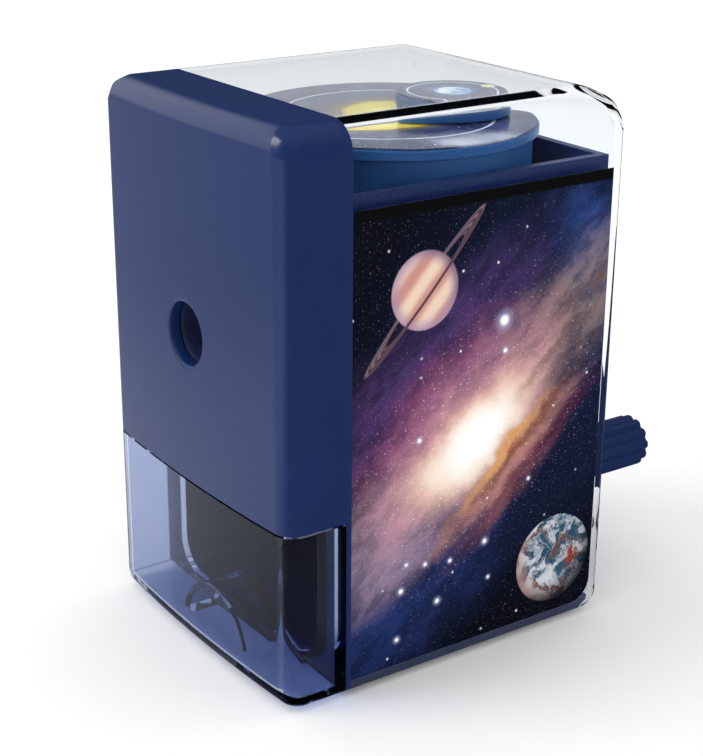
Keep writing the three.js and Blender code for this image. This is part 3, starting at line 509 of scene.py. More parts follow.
flange = copy_of(case, "housing_flange")
slice_at(flange, (0, SEAM_Y, 0), (0, 1, 0), keep_behind=False, fill=True)
slice_at(flange, (0, HOOD_Y, 0), (0, 1, 0), keep_behind=True, fill=True)
bay = rounded_block(
    "bay",
    (-BAY_HALF, SEAM_Y - MM, BAY_LOW),
    (BAY_HALF, HOOD_Y + MM, BAY_HIGH),
    BAY_CORNER_R,
    low_long_edge(BAY_LOW),
)
under_bay = block("under_bay", (-TRAY_HALF, SEAM_Y - MM, -MM), (TRAY_HALF, HOOD_Y + MM, BAY_LOW))
pinion_hole = rod_along_y("pinion_hole", 0, AXIS_Z, BULKHEAD_HOLE_R, SEAM_Y - MM, HOOD_Y + MM, 96)
screw_holes = [
    rod_along_y("screw_hole", x, z, SCREW_HOLE_R, SEAM_Y - MM, HOOD_Y + MM, 24)
    for x in (-COVER_SCREW_X, COVER_SCREW_X)
    for z in COVER_SCREW_Z
]
take_away(flange, bay, under_bay, pinion_hole, *screw_holes)
shaded_navy = moulded_plastic("navy_abs_satin_moulding", "#152755", "#192d5e", (0.34, 0.46), 0.7 * MM)
calm_gloss(shaded_navy)
housing = softened("inner_housing", "inner_housing_moulding", 0.2 * MM)
in_front = block("in_front", (-50 * MM, -60 * MM, -10 * MM), (50 * MM, HOOD_Y, 130 * MM))
take_away(housing, in_front)
add_on(housing, flange)
smooth(housing, 30)
place_piece(housing, shaded_navy, "housing", "navy_abs", "inner_housing")

# ---- drawer --------------------------------------------------------------------------------
# The shavings drawer is one clear, blue-tinted styrene moulding: a front that completes the casing,
# a round-cornered tray that runs in the housing, and an arched finger grip behind the front's foot.

DRAWER_LOW = 1.4 * MM
DRAWER_HIGH = 36.5 * MM
DRAWER_BACK = -25.8 * MM
DRAWER_WALL = 1.8 * MM
TRAY_LOW = 3.5 * MM
TRAY_HIGH = 34.8 * MM
TRAY_BACK = 27 * MM
TRAY_WALL = 1.6 * MM
TRAY_CORNER_R = 8 * MM
GRIP_R = 12 * MM
GRIP_Z = 0.3 * MM
GRIP_WALL = 1.2 * MM
GRIP_DEPTH = 9 * MM


def tray_block(name, inset, front, back, high):
    low = TRAY_LOW + inset
    return rounded_block(
        name,
        (inset - TRAY_HALF, front, low),
        (TRAY_HALF - inset, back, high),
        TRAY_CORNER_R - inset,
        low_long_edge(low),
    )


drawer = copy_of(case, "drawer_moulding")
slice_at(drawer, (0, 0, DRAWER_LOW), (0, 0, 1), keep_behind=False, fill=True)
slice_at(drawer, (0, DRAWER_BACK, 0), (0, 1, 0), keep_behind=True, fill=True)
slice_at(drawer, (0, 0, DRAWER_HIGH), (0, 0, 1), keep_behind=True)
apply(drawer, "SOLIDIFY", thickness=DRAWER_WALL, offset=-1, use_even_offset=True)
tray = tray_block("tray", 0, DRAWER_BACK - DRAWER_WALL, TRAY_BACK, TRAY_HIGH)
tray_space = tray_block(
    "tray_space", TRAY_WALL, DRAWER_BACK - DRAWER_WALL - MM, TRAY_BACK - TRAY_WALL, TRAY_HIGH + 3 * MM
)
grip_front = DRAWER_BACK - GRIP_DEPTH
grip = rod_along_y("grip", 0, GRIP_Z, GRIP_R, grip_front, DRAWER_BACK, 96)
slice_at(grip, (0, 0, DRAWER_LOW), (0, 0, 1), keep_behind=False, fill=True)
grip_space = rod_along_y(
    "grip_space", 0, GRIP_Z, GRIP_R - GRIP_WALL, grip_front + GRIP_WALL, DRAWER_BACK - GRIP_WALL, 96
)
add_on(drawer, tray)
take_away(drawer, tray_space)
add_on(drawer, grip)
take_away(drawer, grip_space)
fine_edges(drawer, 0.2 * MM, 2, 50)
smooth(drawer)


def clear_plastic(name, colour, roughness, ripple, ior):
    """Clear moulded plastic. Light passes it without a hard shadow, and flow lines ripple its gloss."""
    finish, tree, output = new_finish(name)
    place = node(tree, "ShaderNodeTexCoord").outputs["Object"]
    flow = node(
        tree,
        "ShaderNodeTexNoise",
        inputs={"Vector": place, "Scale": 1 / (16 * MM), "Detail": 2},
    ).outputs["Fac"]
    shine = node(
        tree,
        "ShaderNodeMapRange",
        inputs={"Value": flow, "To Min": roughness[0], "To Max": roughness[1]},
    )
    bump = node(
        tree,
        "ShaderNodeBump",
        inputs={"Strength": ripple, "Distance": 0.2 * MM, "Height": flow},
    )
    body = node(
        tree,
        "ShaderNodeBsdfPrincipled",
        inputs={
            "Base Color": to_linear(colour),
            "Roughness": shine.outputs["Result"],
            "IOR": ior,
            "Transmission Weight": 1,
            "Normal": bump.outputs["Normal"],
        },
    )
    passing = node(tree, "ShaderNodeBsdfTransparent", inputs={"Color": to_linear(colour)})
    ray = node(tree, "ShaderNodeLightPath").outputs["Is Shadow Ray"]
    mixed = node(
        tree,
        "ShaderNodeMixShader",
        inputs={0: ray, 1: body.outputs["BSDF"], 2: passing.outputs["BSDF"]},
    )
    tree.links.new(mixed.outputs["Shader"], output.inputs["Surface"])
    return finish


DRAWER_IOR = 1.24
smoke = clear_plastic("blue_tinted_clear_styrene", "#c2cbe2", (0.02, 0.05), 0.03, DRAWER_IOR)
place_piece(drawer, smoke, "drawer", "smoke_styrene", "drawer")

# ---- base plate and pad --------------------------------------------------------------------
# The satin ABS base plate is screwed up into the housing's posts. A rubber pad with a fine cast grain
# is glued in its recess and keeps the sharpener from sliding.

PAD_HALF = (22 * MM, 25 * MM)
PAD_HIGH = 1.6 * MM
PAD_CORNER_R = 5 * MM

plate = softened("base_plate", "base_plate_moulding", 0.2 * MM)
place_piece(plate, inner_navy, "housing", "inner_navy_abs", "base_plate")

pad = rounded_block(
    "base_pad_rubber",
    (-PAD_HALF[0], -PAD_HALF[1], 0),
    (PAD_HALF[0], PAD_HALF[1], PAD_HIGH),
    PAD_CORNER_R,
    lambda a, b: abs(a.z - b.z) > 1e-6,
)
fine_edges(pad, 0.15 * MM, 2, 60)
smooth(pad)
rubber = moulded_plastic("black_rubber_cast_grain", "#161617", "#1e1e1f", (0.78, 0.92), 0.5 * MM, 0.5, 1.52)
place_piece(pad, rubber, "housing", "pad_rubber", "base_pad")

# ---- hood ----------------------------------------------------------------------------------
# The hood is one clear styrene moulding with a fully rounded top back edge. It slides on from the back
# over the housing, takes two screws, and has a shallow recess in each side for the printed film.

HOOD_WALL = 1.9 * MM
HOOD_INNER_X = 31.2 * MM
HOOD_INNER_BACK = 36.8 * MM
HOOD_OPEN_TO = 12.7 * MM
LABEL = 0.25 * MM
LABEL_BACK = 35.5 * MM
LABEL_LOW = 3.6 * MM
LABEL_HIGH = 95.3 * MM
LABEL_CORNER_R = 4.7 * MM
LABEL_GAP = 0.1 * MM
BUSH_HOLE_R = 6.3 * MM
REAR_SCREW_X = 24 * MM
REAR_SCREW_Z = 16.8 * MM


def label_block(name, side, grow, reach):
    """The film's shape: square at the front and at the top, round at its lower back corner."""
    inner = HALF_WIDTH - LABEL
    xs = sorted((side * inner, side * (inner + reach)))
    low = LABEL_LOW - grow
    back = LABEL_BACK + grow
    return rounded_block(
        name,
        (xs[0], HOOD_Y - grow, low),
        (xs[1], back, LABEL_HIGH + grow),
        LABEL_CORNER_R,
        lambda a, b: abs(a.x - b.x) > 1e-6 and a.z < low + 1e-6 and a.y > back - 1e-6,
    )


hood = copy_of(case, "hood_moulding")
slice_at(hood, (0, HOOD_Y, 0), (0, 1, 0), keep_behind=False)
apply(hood, "SOLIDIFY", thickness=HOOD_WALL, offset=-1, use_even_offset=True)
under = block("under", (-HOOD_INNER_X, -60 * MM, -MM), (HOOD_INNER_X, HOOD_INNER_BACK, HOOD_OPEN_TO))
bush_hole = rod_along_y("bush_hole", 0, AXIS_Z, BUSH_HOLE_R, HOOD_INNER_BACK - MM, BACK_Y + MM, 64)
rear_holes = [
    rod_along_y("rear_hole", x, REAR_SCREW_Z, SCREW_HOLE_R, HOOD_INNER_BACK - MM, BACK_Y + MM, 24)
    for x in (-REAR_SCREW_X, REAR_SCREW_X)
]
recesses = [label_block("recess", side, LABEL_GAP, 2 * MM) for side in (-1, 1)]
take_away(hood, under, bush_hole, *rear_holes, *recesses)
fine_edges(hood, 0.12 * MM, 2, 60)
smooth(hood)
HOOD_IOR = 1.12
clear = clear_plastic("clear_styrene_moulding", "#f6f9fb", (0.005, 0.02), 0.015, HOOD_IOR)
place_piece(hood, clear, "housing", "clear_styrene", "hood")

# ---- side labels ---------------------------------------------------------------------------
# Each side has a thin styrene film in the hood's recess, offset printed with a view of deep space: a
# tilted galaxy with dust, a ringed planet and an ocean planet. A clear varnish gives it a low gloss.

GALAXY_BASE = "#090c1a"
GALAXY_TURN = 39
# Faint stars: width of a cell, radius of a star, share of cells that hold one, strength
STAR_LAYERS = ((0.75, 0.17, 0.5, 0.75), (2.1, 0.26, 0.45, 1))
# Soft ellipses of ink: colour, middle (y, z), half axes, turn in degrees, strength, cloudiness
GALAXY_CLOUDS = (
    ("#182650", (20, 60), (44, 42), 35, 0.8, 0.45),
    ("#22356e", (-12, 19), (34, 18), 30, 0.85, 0.5),
    ("#2b4a90", (32, 80), (13, 17), 20, 0.8, 0.6),
    ("#4c3568", (-8, 62), (42, 14), 39, 0.85, 0.5),
    ("#8a4268", (-6, 57), (25, 8), 39, 0.75, 0.45),
    ("#8b7770", (27, 69), (32, 12), 38, 0.9, 0.65),
    ("#8f8299", (-13, 34), (26, 12), 38, 0.85, 0.5),
    ("#a78aa0", (-16, 24), (16, 8), 38, 0.5, 0.6),
    ("#b57d95", (0, 49.5), (36, 14), 39, 0.9, 0.45),
    ("#e0a9a8", (2.5, 47.6), (29, 11), 37, 0.9, 0.3),
    ("#f7d3b4", (3.6, 46.6), (20, 8.5), 35, 1, 0.1),
    ("#fff6e8", (3.8, 46.6), (15, 7.2), 34, 1, 0),
    ("#ffffff", (4, 46.8), (11.5, 5.6), 33, 1, 0),
)
# Dust across the near side of the galaxy: colour, middle, half axes, turn, strength, cloudiness
GALAXY_DUST = (
    ("#c48a7a", (9.5, 38.4), (27, 3.8), 41, 0.75, 0.45),
    ("#e0a05c", (11.4, 43.2), (17, 1.7), 43, 0.9, 0.3),
    ("#8a4a28", (15.4, 44.2), (21, 1.2), 43, 0.9, 0.4),
    ("#b98078", (16, 40.8), (26, 2.4), 42, 0.7, 0.5),
    ("#571c38", (18.5, 39.4), (28, 2.6), 42, 0.9, 0.4),
    ("#8c5c62", (13, 33.6), (22, 3), 40, 0.55, 0.7),
    ("#101630", (27, 36.5), (32, 8), 42, 0.85, 0.4),
    ("#4b3634", (31, 73), (15, 2.4), 36, 0.65, 0.7),
    ("#3b2b2c", (24, 62), (18, 1.8), 40, 0.5, 0.8),
)
# Single bright stars: middle, radius
BRIGHT_STARS = (
    ((9.9, 69.5), 1.9),
    ((10.4, 63.4), 0.8),
    ((-9.5, 49.5), 0.8),
    ((7, 24.4), 0.9),
    ((-1.5, 22.5), 0.7),
    ((-7.5, 23.4), 0.7),
    ((-12, 24.5), 0.6),
    ((8.2, 16.2), 0.6),
    ((-4.4, 14.6), 0.9),
    ((-13.2, 19.2), 0.9),
    ((-14, 9), 0.8),
    ((17.6, 35.2), 0.6),
)
RINGED_AT = (-8.9, 78.6)
RINGED_R = 7.6
RING_HALF = (19.4, 1.7)
RING_TURN = 47
OCEAN_AT = (25.1, 15.7)
OCEAN_R = 9.6
PRINT_TOP = 93.2


def flat_place(tree, across, along):
    """Two of the object's axes laid flat, so that a pattern is printed straight through the piece."""
    place = node(tree, "ShaderNodeTexCoord").outputs["Object"]
    axes = node(tree, "ShaderNodeSeparateXYZ", inputs={"Vector": place}).outputs
    return node(
        tree, "ShaderNodeCombineXYZ", inputs={"X": axes[across], "Y": axes[along]}
    ).outputs["Vector"]


def math_of(tree, kind, first, second=0.0):
    return node(tree, "ShaderNodeMath", {"operation": kind}, {0: first, 1: second}).outputs[0]


def spread(tree, value, low, high, to_low, to_high, kind="SMOOTHSTEP"):
    return node(
        tree,
        "ShaderNodeMapRange",
        {"interpolation_type": kind},
        {"Value": value, "From Min": low, "From Max": high, "To Min": to_low, "To Max": to_high},
    ).outputs["Result"]


def local_place(tree, place, middle, half, turn=0):
    """A place seen from the middle of a turned ellipse, where its edge is at a distance of 1."""
    return node(
        tree,
        "ShaderNodeMapping",
        {"vector_type": "TEXTURE"},
        {
            "Vector": place,
            "Location": (middle[0] * MM, middle[1] * MM, 0),
            "Rotation": (0, 0, math.radians(turn)),
            "Scale": (half[0] * MM, half[1] * MM, MM),
        },
    ).outputs["Vector"]


def length_of(tree, place):
    return node(tree, "ShaderNodeVectorMath", {"operation": "LENGTH"}, {0: place}).outputs["Value"]


def inked(tree, under, over, amount, kind="MIX"):
    """Prints one colour over another, or adds it as light where the kind is SCREEN."""
    over = to_linear(over) if isinstance(over, str) else over
    return node(
        tree,
        "ShaderNodeMix",
        {"data_type": "RGBA", "blend_type": kind},
        {0: amount, 6: under, 7: over},
    ).outputs[2]


def cloud(tree, place, grain, detail=8, roughness=0.6):
    return node(
        tree,
        "ShaderNodeTexNoise",
        {"noise_dimensions": "2D"},
        {"Vector": place, "Scale": 1 / (grain * MM), "Detail": detail, "Roughness": roughness},
    ).outputs


def stirred(tree, place, grain, reach):
    """A place pushed about by a cloud pattern, which gives what is printed there a ragged edge."""
    far = reach * MM
    push = node(
        tree,
        "ShaderNodeVectorMath",
        {"operation": "MULTIPLY_ADD"},
        {0: cloud(tree, place, grain)["Color"], 1: (far, far, 0), 2: (-far / 2, -far / 2, 0)},
    ).outputs["Vector"]
    return node(
        tree, "ShaderNodeVectorMath", {"operation": "ADD"}, {0: place, 1: push}
    ).outputs["Vector"]


def stars(tree, place, cell, radius, share):
    """A star in a share of a pattern's cells, each with its own brightness."""
    cells = node(
        tree,
        "ShaderNodeTexVoronoi",
        {"voronoi_dimensions": "2D"},
        {"Vector": place, "Scale": 1 / (cell * MM)},
    ).outputs
    spot = spread(tree, cells["Distance"], 0, radius / cell, 1, 0)
    luck = node(tree, "ShaderNodeSeparateColor", inputs={"Color": cells["Color"]}).outputs["Red"]
    return math_of(tree, "MULTIPLY", spot, spread(tree, luck, 1 - share, 1, 0, 1, "LINEAR"))


VARNISH_IOR = 1.5
VARNISH_LEVEL = 0.14


def printed_film(tree, output, picture, roughness):
    """Ink under a clear varnish with a faint orange peel."""
    place = node(tree, "ShaderNodeTexCoord").outputs["Object"]
    peel = node(
        tree,
        "ShaderNodeTexNoise",
        inputs={"Vector": place, "Scale": 1 / (1.6 * MM), "Detail": 2},
    ).outputs["Fac"]
    bump = node(
        tree,
        "ShaderNodeBump",
        inputs={"Strength": 0.03, "Distance": 0.05 * MM, "Height": peel},
    )
    body = node(
        tree,
        "ShaderNodeBsdfPrincipled",
        inputs={
            "Base Color": picture,
            "Roughness": spread(tree, peel, 0.3, 0.7, roughness[0], roughness[1], "LINEAR"),
            "IOR": VARNISH_IOR,
            "Specular IOR Level": VARNISH_LEVEL,
            "Normal": bump.outputs["Normal"],
        },
    )
    tree.links.new(body.outputs["BSDF"], output.inputs["Surface"])


def ringed_planet(tree, place, picture):
    """A cream gas planet with bands, and a thin tilted ring that passes behind and in front of it."""
    ring = local_place(tree, place, RINGED_AT, RING_HALF, RING_TURN)
    reach = length_of(tree, ring)
    band = math_of(
        tree,
        "MULTIPLY",
        spread(tree, reach, 0.62, 0.7, 0, 1),
        spread(tree, reach, 0.95, 1.03, 1, 0),
    )
    grooves = math_of(tree, "SINE", math_of(tree, "MULTIPLY", reach, 60))
    ring_ink = inked(tree, to_linear("#453640"), "#8f7884", spread(tree, grooves, -1, 1, 0.1, 0.9))
    across = node(tree, "ShaderNodeSeparateXYZ", inputs={"Vector": ring}).outputs["Y"]
    picture = inked(tree, picture, ring_ink, math_of(tree, "MULTIPLY", band, 0.85))
    globe = local_place(tree, place, RINGED_AT, (RINGED_R, RINGED_R), RING_TURN)
    distance = length_of(tree, globe)
    latitude = node(tree, "ShaderNodeSeparateXYZ", inputs={"Vector": stirred(tree, globe, 700, 90)})
    stripes = math_of(tree, "SINE", math_of(tree, "MULTIPLY", latitude.outputs["Y"], 9))
    skin = inked(tree, to_linear("#c98f86"), "#ecd0ba", spread(tree, stripes, -1, 1, 0, 1))
    skin = inked(tree, skin, "#a98aa6", spread(tree, distance, 0.6, 1, 0, 0.85))
    shade = local_place(tree, place, (RINGED_AT[0] - 2, RINGED_AT[1] - 1.5), (RINGED_R, RINGED_R))
    skin = inked(tree, skin, "#4a3a52", spread(tree, length_of(tree, shade), 0.95, 1.5, 0, 0.9))
    picture = inked(tree, picture, skin, spread(tree, distance, 0.96, 1.01, 1, 0))
    in_front = math_of(tree, "MULTIPLY", band, spread(tree, across, -0.08, 0.02, 1, 0))
    return inked(tree, picture, inked(tree, ring_ink, "#4b3038", 0.7), in_front)


def ocean_planet(tree, place, picture):
    """A blue planet with brown land, white cloud swirls and a shaded side."""
    globe = local_place(tree, place, OCEAN_AT, (OCEAN_R, OCEAN_R))
    distance = length_of(tree, globe)
    swirled = stirred(tree, place, 7, 9)
    land = spread(tree, cloud(tree, swirled, 6.5)["Fac"], 0.5, 0.6, 0, 1)
    veil = spread(tree, cloud(tree, stirred(tree, swirled, 3, 5), 5.2, 10, 0.72)["Fac"], 0.43, 0.6, 0, 1)
    skin = inked(tree, to_linear("#1b3552"), "#2f5f74", cloud(tree, swirled, 3)["Fac"])
    skin = inked(tree, skin, "#6e4a42", land)
    rust = local_place(tree, place, (OCEAN_AT[0] + 4.6, OCEAN_AT[1] - 0.6), (3, 2.6))
    skin = inked(tree, skin, "#8e3418", spread(tree, length_of(tree, rust), 0.3, 1, 0.85, 0))
    skin = inked(tree, skin, "#d9dde6", math_of(tree, "MULTIPLY", veil, 0.9))
    warm = local_place(tree, place, (OCEAN_AT[0] + 3.2, OCEAN_AT[1] + 2.4), (OCEAN_R, OCEAN_R))
    skin = inked(tree, skin, "#b98d80", spread(tree, length_of(tree, warm), 0.95, 1.4, 0, 0.75))
    night = local_place(tree, place, (OCEAN_AT[0] - 2.4, OCEAN_AT[1] + 3.4), (OCEAN_R, OCEAN_R))
    skin = inked(tree, skin, "#0c0d16", spread(tree, length_of(tree, night), 0.8, 1.42, 0, 0.95))
    return inked(tree, picture, skin, spread(tree, distance, 0.975, 1.005, 1, 0))


def galaxy_print(name):
    finish, tree, output = new_finish(name)
    place = flat_place(tree, "Y", "Z")
    ragged = stirred(tree, place, 12, 7)
    streaked = local_place(tree, stirred(tree, place, 5, 3), (0, 0), (2.4, 1), GALAXY_TURN)
    billow = cloud(tree, streaked, 4500, 10, 0.66)["Fac"]
    picture = to_linear(GALAXY_BASE)
    for colour, middle, half, turn, strength, cloudiness in GALAXY_CLOUDS + GALAXY_DUST:
        reach = length_of(tree, local_place(tree, ragged, middle, half, turn))
        soft = spread(tree, reach, 0.15, 1.25, strength, 0, "SMOOTHERSTEP")
        thin = spread(tree, billow, 0.38, 0.62, 1 - cloudiness, 1)
        picture = inked(tree, picture, colour, math_of(tree, "MULTIPLY", soft, thin))
    crowd = length_of(tree, local_place(tree, place, (4, 48), (46, 26), 38))
    near = spread(tree, crowd, 0.2, 1.1, 1, 0.12)
    for cell, radius, share, strength in STAR_LAYERS:
        light = math_of(tree, "MULTIPLY", stars(tree, place, cell, radius, share), near)
        light = math_of(tree, "MULTIPLY", light, strength)
        picture = inked(tree, picture, "#e9e6f4", light, "SCREEN")
    picture = inked(tree, picture, "#ffffff", stars(tree, place, 8, 0.42, 0.4), "SCREEN")
    for middle, radius in BRIGHT_STARS:
        reach = length_of(tree, local_place(tree, place, middle, (radius, radius)))
        picture = inked(tree, picture, "#b9c4ee", spread(tree, reach, 0, 1.6, 0.55, 0), "SCREEN")
        picture = inked(tree, picture, "#ffffff", spread(tree, reach, 0.25, 0.75, 1, 0), "SCREEN")
    picture = ringed_planet(tree, place, picture)
    picture = ocean_planet(tree, place, picture)
    # The film is near-black above PRINT_TOP.
    height = node(tree, "ShaderNodeSeparateXYZ", inputs={"Vector": place}).outputs["Y"]
    dark_top_band = spread(tree, height, (PRINT_TOP - 0.15) * MM, (PRINT_TOP + 0.15) * MM, 0, 1)
    picture = inked(tree, picture, "#0b0b0c", dark_top_band)
    printed_film(tree, output, picture, (0.2, 0.28))
    return finish


space_film = galaxy_print("printed_space_film_varnished")
for side, name in ((-1, "left"), (1, "right")):
    label = label_block(f"{name}_side_film", side, 0, LABEL)
    smooth(label)
    place_piece(label, space_film, "housing", "galaxy_print", f"side_label_{name}")

# ---- screws --------------------------------------------------------------------------------
# The cover, the hood, the base plate, the ring gear and the crank arm are held by zinc-plated pan-head
# screws, cold headed with a cross recess. The plating is a thin, slightly bluish, fine-grained coat.

RECESS_HALF_WIDTH = 0.36 * MM
RECESS_HALF_LENGTH = 1.35 * MM
RECESS_DEPTH = 0.8 * MM
SCREW_FACES = {
    "cover_screw_lower_left": (0, 1, 0),
    "cover_screw_lower_right": (0, 1, 0),
    "cover_screw_upper_left": (0, 1, 0),
    "cover_screw_upper_right": (0, 1, 0),
    "ring_screw_left": (0, 1, 0),
    "ring_screw_right": (0, 1, 0),
    "hood_screw_left": (0, 1, 0),
    "hood_screw_right": (0, 1, 0),
    "crank_screw": (0, 1, 0),
    "base_screw_left": (0, 0, -1),
    "base_screw_right": (0, 0, -1),
}


def head_face(source, out):
    """The middle of a screw's outer head face, which looks along out."""
    low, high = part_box(source)
    out = Vector(out)
    half = (high - low) / 2
    return (low + high) / 2 + Vector([half[i] * out[i] for i in range(3)])


def cross_recess(face, out):
    """Two crossed bars, set into a head as deep as its recess."""
    depth_axis = [i for i in range(3) if out[i]][0]
    bars = []
    for along in range(3):
        if along == depth_axis:
            continue
        half = Vector([RECESS_HALF_WIDTH] * 3)
        half[along] = RECESS_HALF_LENGTH
        half[depth_axis] = RECESS_DEPTH
        bars.append(block("recess_bar", face - half, face + half))
    return bars


def plated_steel(name, colour, second, gloss, grain, line=1):
    """Metal with fine marks. A line above 1 draws the grain out into rings round the Y axis."""
    finish, tree, output = new_finish(name)
    place = node(
        tree,
        "ShaderNodeMapping",
        inputs={
            "Vector": node(tree, "ShaderNodeTexCoord").outputs["Object"],
            "Scale": (1, line, 1),
        },
    ).outputs["Vector"]
    marks = node(
        tree,
        "ShaderNodeTexNoise",
        inputs={"Vector": place, "Scale": 1 / grain, "Detail": 5, "Roughness": 0.65},
    ).outputs["Fac"]
    tint = inked(tree, to_linear(colour), second, marks)
    bump = node(
        tree,
        "ShaderNodeBump",
        inputs={"Strength": 0.12, "Distance": 0.02 * MM, "Height": marks},
    )
    body = node(
        tree,
        "ShaderNodeBsdfPrincipled",
        inputs={
            "Base Color": tint,
            "Metallic": 1,
            "Roughness": spread(tree, marks, 0.3, 0.7, gloss[0], gloss[1], "LINEAR"),
            "Normal": bump.outputs["Normal"],
        },
    )
    tree.links.new(body.outputs["BSDF"], output.inputs["Surface"])
    return finish


zinc = plated_steel("zinc_plated_cold_headed_steel", "#a9adb3", "#c4c8cd", (0.24, 0.38), 0.4 * MM)
for source, out in SCREW_FACES.items():
    screw = softened(source, f"{source}_pan_head", 0.3 * MM, 3, 50)
    take_away(screw, *cross_recess(head_face(source, out), out))
    smooth(screw, 40)
    place_piece(screw, zinc, frame["nodes"][source]["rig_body"], "zinc_screw", source)

# ---- cutting head --------------------------------------------------------------------------
# The acetal carrier turns with the crank. It holds one tilted helical cutter of ground tool steel on a
# steel spindle, and the cutter's acetal pinion rolls inside a moulded ring gear screwed to the bulkhead.

acetal = moulded_plastic("natural_acetal_moulding", "#cfc9bb", "#ddd8cc", (0.36, 0.48), 0.6 * MM, 0.05, 1.48)
turned_steel = plated_steel("turned_bright_steel", "#8f9092", "#b4b5b7", (0.18, 0.34), 1.2 * MM, 9)
cutter_steel = plated_steel("hardened_ground_tool_steel", "#55565a", "#7d7e82", (0.26, 0.42), 0.5 * MM, 2)
brass = plated_steel("machine_cut_brass", "#b58a45", "#d3aa62", (0.2, 0.34), 0.9 * MM, 6)

for source, name, finish, material_slot, width in (
    ("ring_gear", "ring_gear_teeth", acetal, "acetal", 0.12 * MM),
    ("cutter_carrier", "carrier_moulding", acetal, "acetal", 0.25 * MM),
    ("cutter", "helical_cutter_roll", cutter_steel, "cutter_steel", 0.05 * MM),
    ("cutter_pinion", "cutter_pinion_teeth", acetal, "acetal", 0.1 * MM),
    ("cutter_spindle", "cutter_spindle_pin", turned_steel, "turned_steel", 0.12 * MM),
):
    piece = softened(source, name, width)
    place_piece(piece, finish, frame["nodes"][source]["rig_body"], material_slot, source)

# ---- crank shaft and orrery drive ----------------------------------------------------------
# The steel crank shaft runs in a brass bush in the back wall. Its acetal gear turns a crown gear, whose
# steel spindle carries the turntable, and the small disc's gear rolls round a fixed sun gear on the deck.

for source, name, finish, material_slot, width in (
    ("shaft_bush", "shaft_bush_turned", brass, "brass", 0.2 * MM),
    ("crank_shaft", "crank_shaft_turned", turned_steel, "turned_steel", 0.25 * MM),
    ("drive_gear", "drive_gear_teeth", acetal, "acetal", 0.1 * MM),
    ("crown_gear", "crown_gear_teeth", acetal, "acetal", 0.1 * MM),
    ("sun_gear", "sun_gear_teeth", acetal, "acetal", 0.1 * MM),
    ("planet_gear", "planet_gear_teeth", acetal, "acetal", 0.1 * MM),
    ("turntable_spindle", "turntable_spindle_pin", turned_steel, "turned_steel", 0.12 * MM),
    ("planet_spindle", "planet_spindle_pin", turned_steel, "turned_steel", 0.12 * MM),
    ("deck", "deck_plate", shaded_navy, "navy_abs", 0.25 * MM),
):
    piece = softened(source, name, width)
    place_piece(piece, finish, frame["nodes"][source]["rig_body"], material_slot, source)

# ---- turntable -----------------------------------------------------------------------------
# The orrery's turntable is a blue ABS disc with a drum under it that hides the gears. Its printed face
# shows the sun, the earth's orbit and stars, on a disc of varnished film.

TURNTABLE_AT = (0, 6.3)
TURNTABLE_BLUE = "#1c4a80"
# The disc and its drum: radius and height, round the outside first
TURNTABLE_PROFILE = (
    (0, 102.4),
    (28.8, 102.4),
    (29.1, 102.1),
    (29.1, 100.7),
    (28.8, 100.4),
    (27.9, 100.4),
    (27.9, 91.8),
    (26.3, 91.8),
    (26.3, 100.4),
    (5, 100.4),
    (5, 94.5),
    (2.3, 94.5),
    (2.3, 101.4),
    (0, 101.4),
)
ORRERY_BASE = "#1e2140"
ORBIT_R = 20.4
SUN_R = 9.5


def rod_along_z(name, centre, radius, low, high, sides=64):
    return turn_profile(
        name, [(0, low), (radius, low), (radius, high), (0, high)], centre, (0, 0, 1), sides
    )


def middle_of(source):
    low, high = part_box(source)
    return (low + high) / 2


def ring_line(tree, reach, radius, half_width):
    """A thin printed circle at a radius, in the same units as reach."""
    off = math_of(tree, "ABSOLUTE", math_of(tree, "SUBTRACT", reach, radius))
    return spread(tree, off, half_width * 0.5, half_width * 1.5, 1, 0)


planet_middle = middle_of("planet_disc")
table = turn_profile(
    "turntable_disc_and_drum",
    [(radius * MM, height * MM) for radius, height in TURNTABLE_PROFILE],
    (TURNTABLE_AT[0] * MM, TURNTABLE_AT[1] * MM, 0),
    (0, 0, 1),
    160,
)
planet_hole = rod_along_z(
    "planet_hole", (planet_middle.x, planet_middle.y, 0), 2.3 * MM, 99 * MM, 104 * MM
)
take_away(table, planet_hole)
smooth(table)
blue_abs = moulded_plastic(
    "turntable_blue_abs_moulding", TURNTABLE_BLUE, "#21528c", (0.26, 0.36), 0.9 * MM
)
calm_gloss(blue_abs)
place_piece(table, blue_abs, "turntable", "navy_abs", "turntable")


def orrery_print(name):
    finish, tree, output = new_finish(name)
    place = flat_place(tree, "X", "Y")
    disc = local_place(tree, place, TURNTABLE_AT, (1, 1))
    reach = length_of(tree, disc)
    ragged = stirred(tree, place, 9, 6)
    billow = cloud(tree, ragged, 11)["Fac"]
    picture = inked(tree, to_linear(ORRERY_BASE), "#3a3f66", spread(tree, billow, 0.4, 0.66, 0, 0.8))
    for middle, half, turn, strength in (((25, 8), (13, 8), 60, 0.75), ((26, 3), (7, 4), 70, 0.9)):
        glow = length_of(tree, local_place(tree, ragged, middle, half, turn))
        light = math_of(tree, "MULTIPLY", spread(tree, glow, 0, 1.1, strength, 0), billow)
        picture = inked(tree, picture, "#dfe6f6", light, "SCREEN")
    for cell, radius, share in ((1.6, 0.2, 0.45), (5, 0.34, 0.5)):
        picture = inked(tree, picture, "#eef0ff", stars(tree, place, cell, radius, share), "SCREEN")
    picture = inked(tree, picture, "#cfd6ea", ring_line(tree, reach, ORBIT_R, 0.26))
    flame = length_of(tree, local_place(tree, stirred(tree, place, 3, 2.2), TURNTABLE_AT, (1, 1)))
    picture = inked(tree, picture, "#8a6f1e", spread(tree, flame, SUN_R * 0.8, SUN_R * 1.5, 0.85, 0))
    picture = inked(tree, picture, "#d6c12c", spread(tree, flame, SUN_R * 0.82, SUN_R, 1, 0))
    picture = inked(tree, picture, "#f2e46a", spread(tree, flame, 0, SUN_R * 0.9, 0.8, 0))
    printed_film(tree, output, picture, (0.16, 0.24))
    return finish


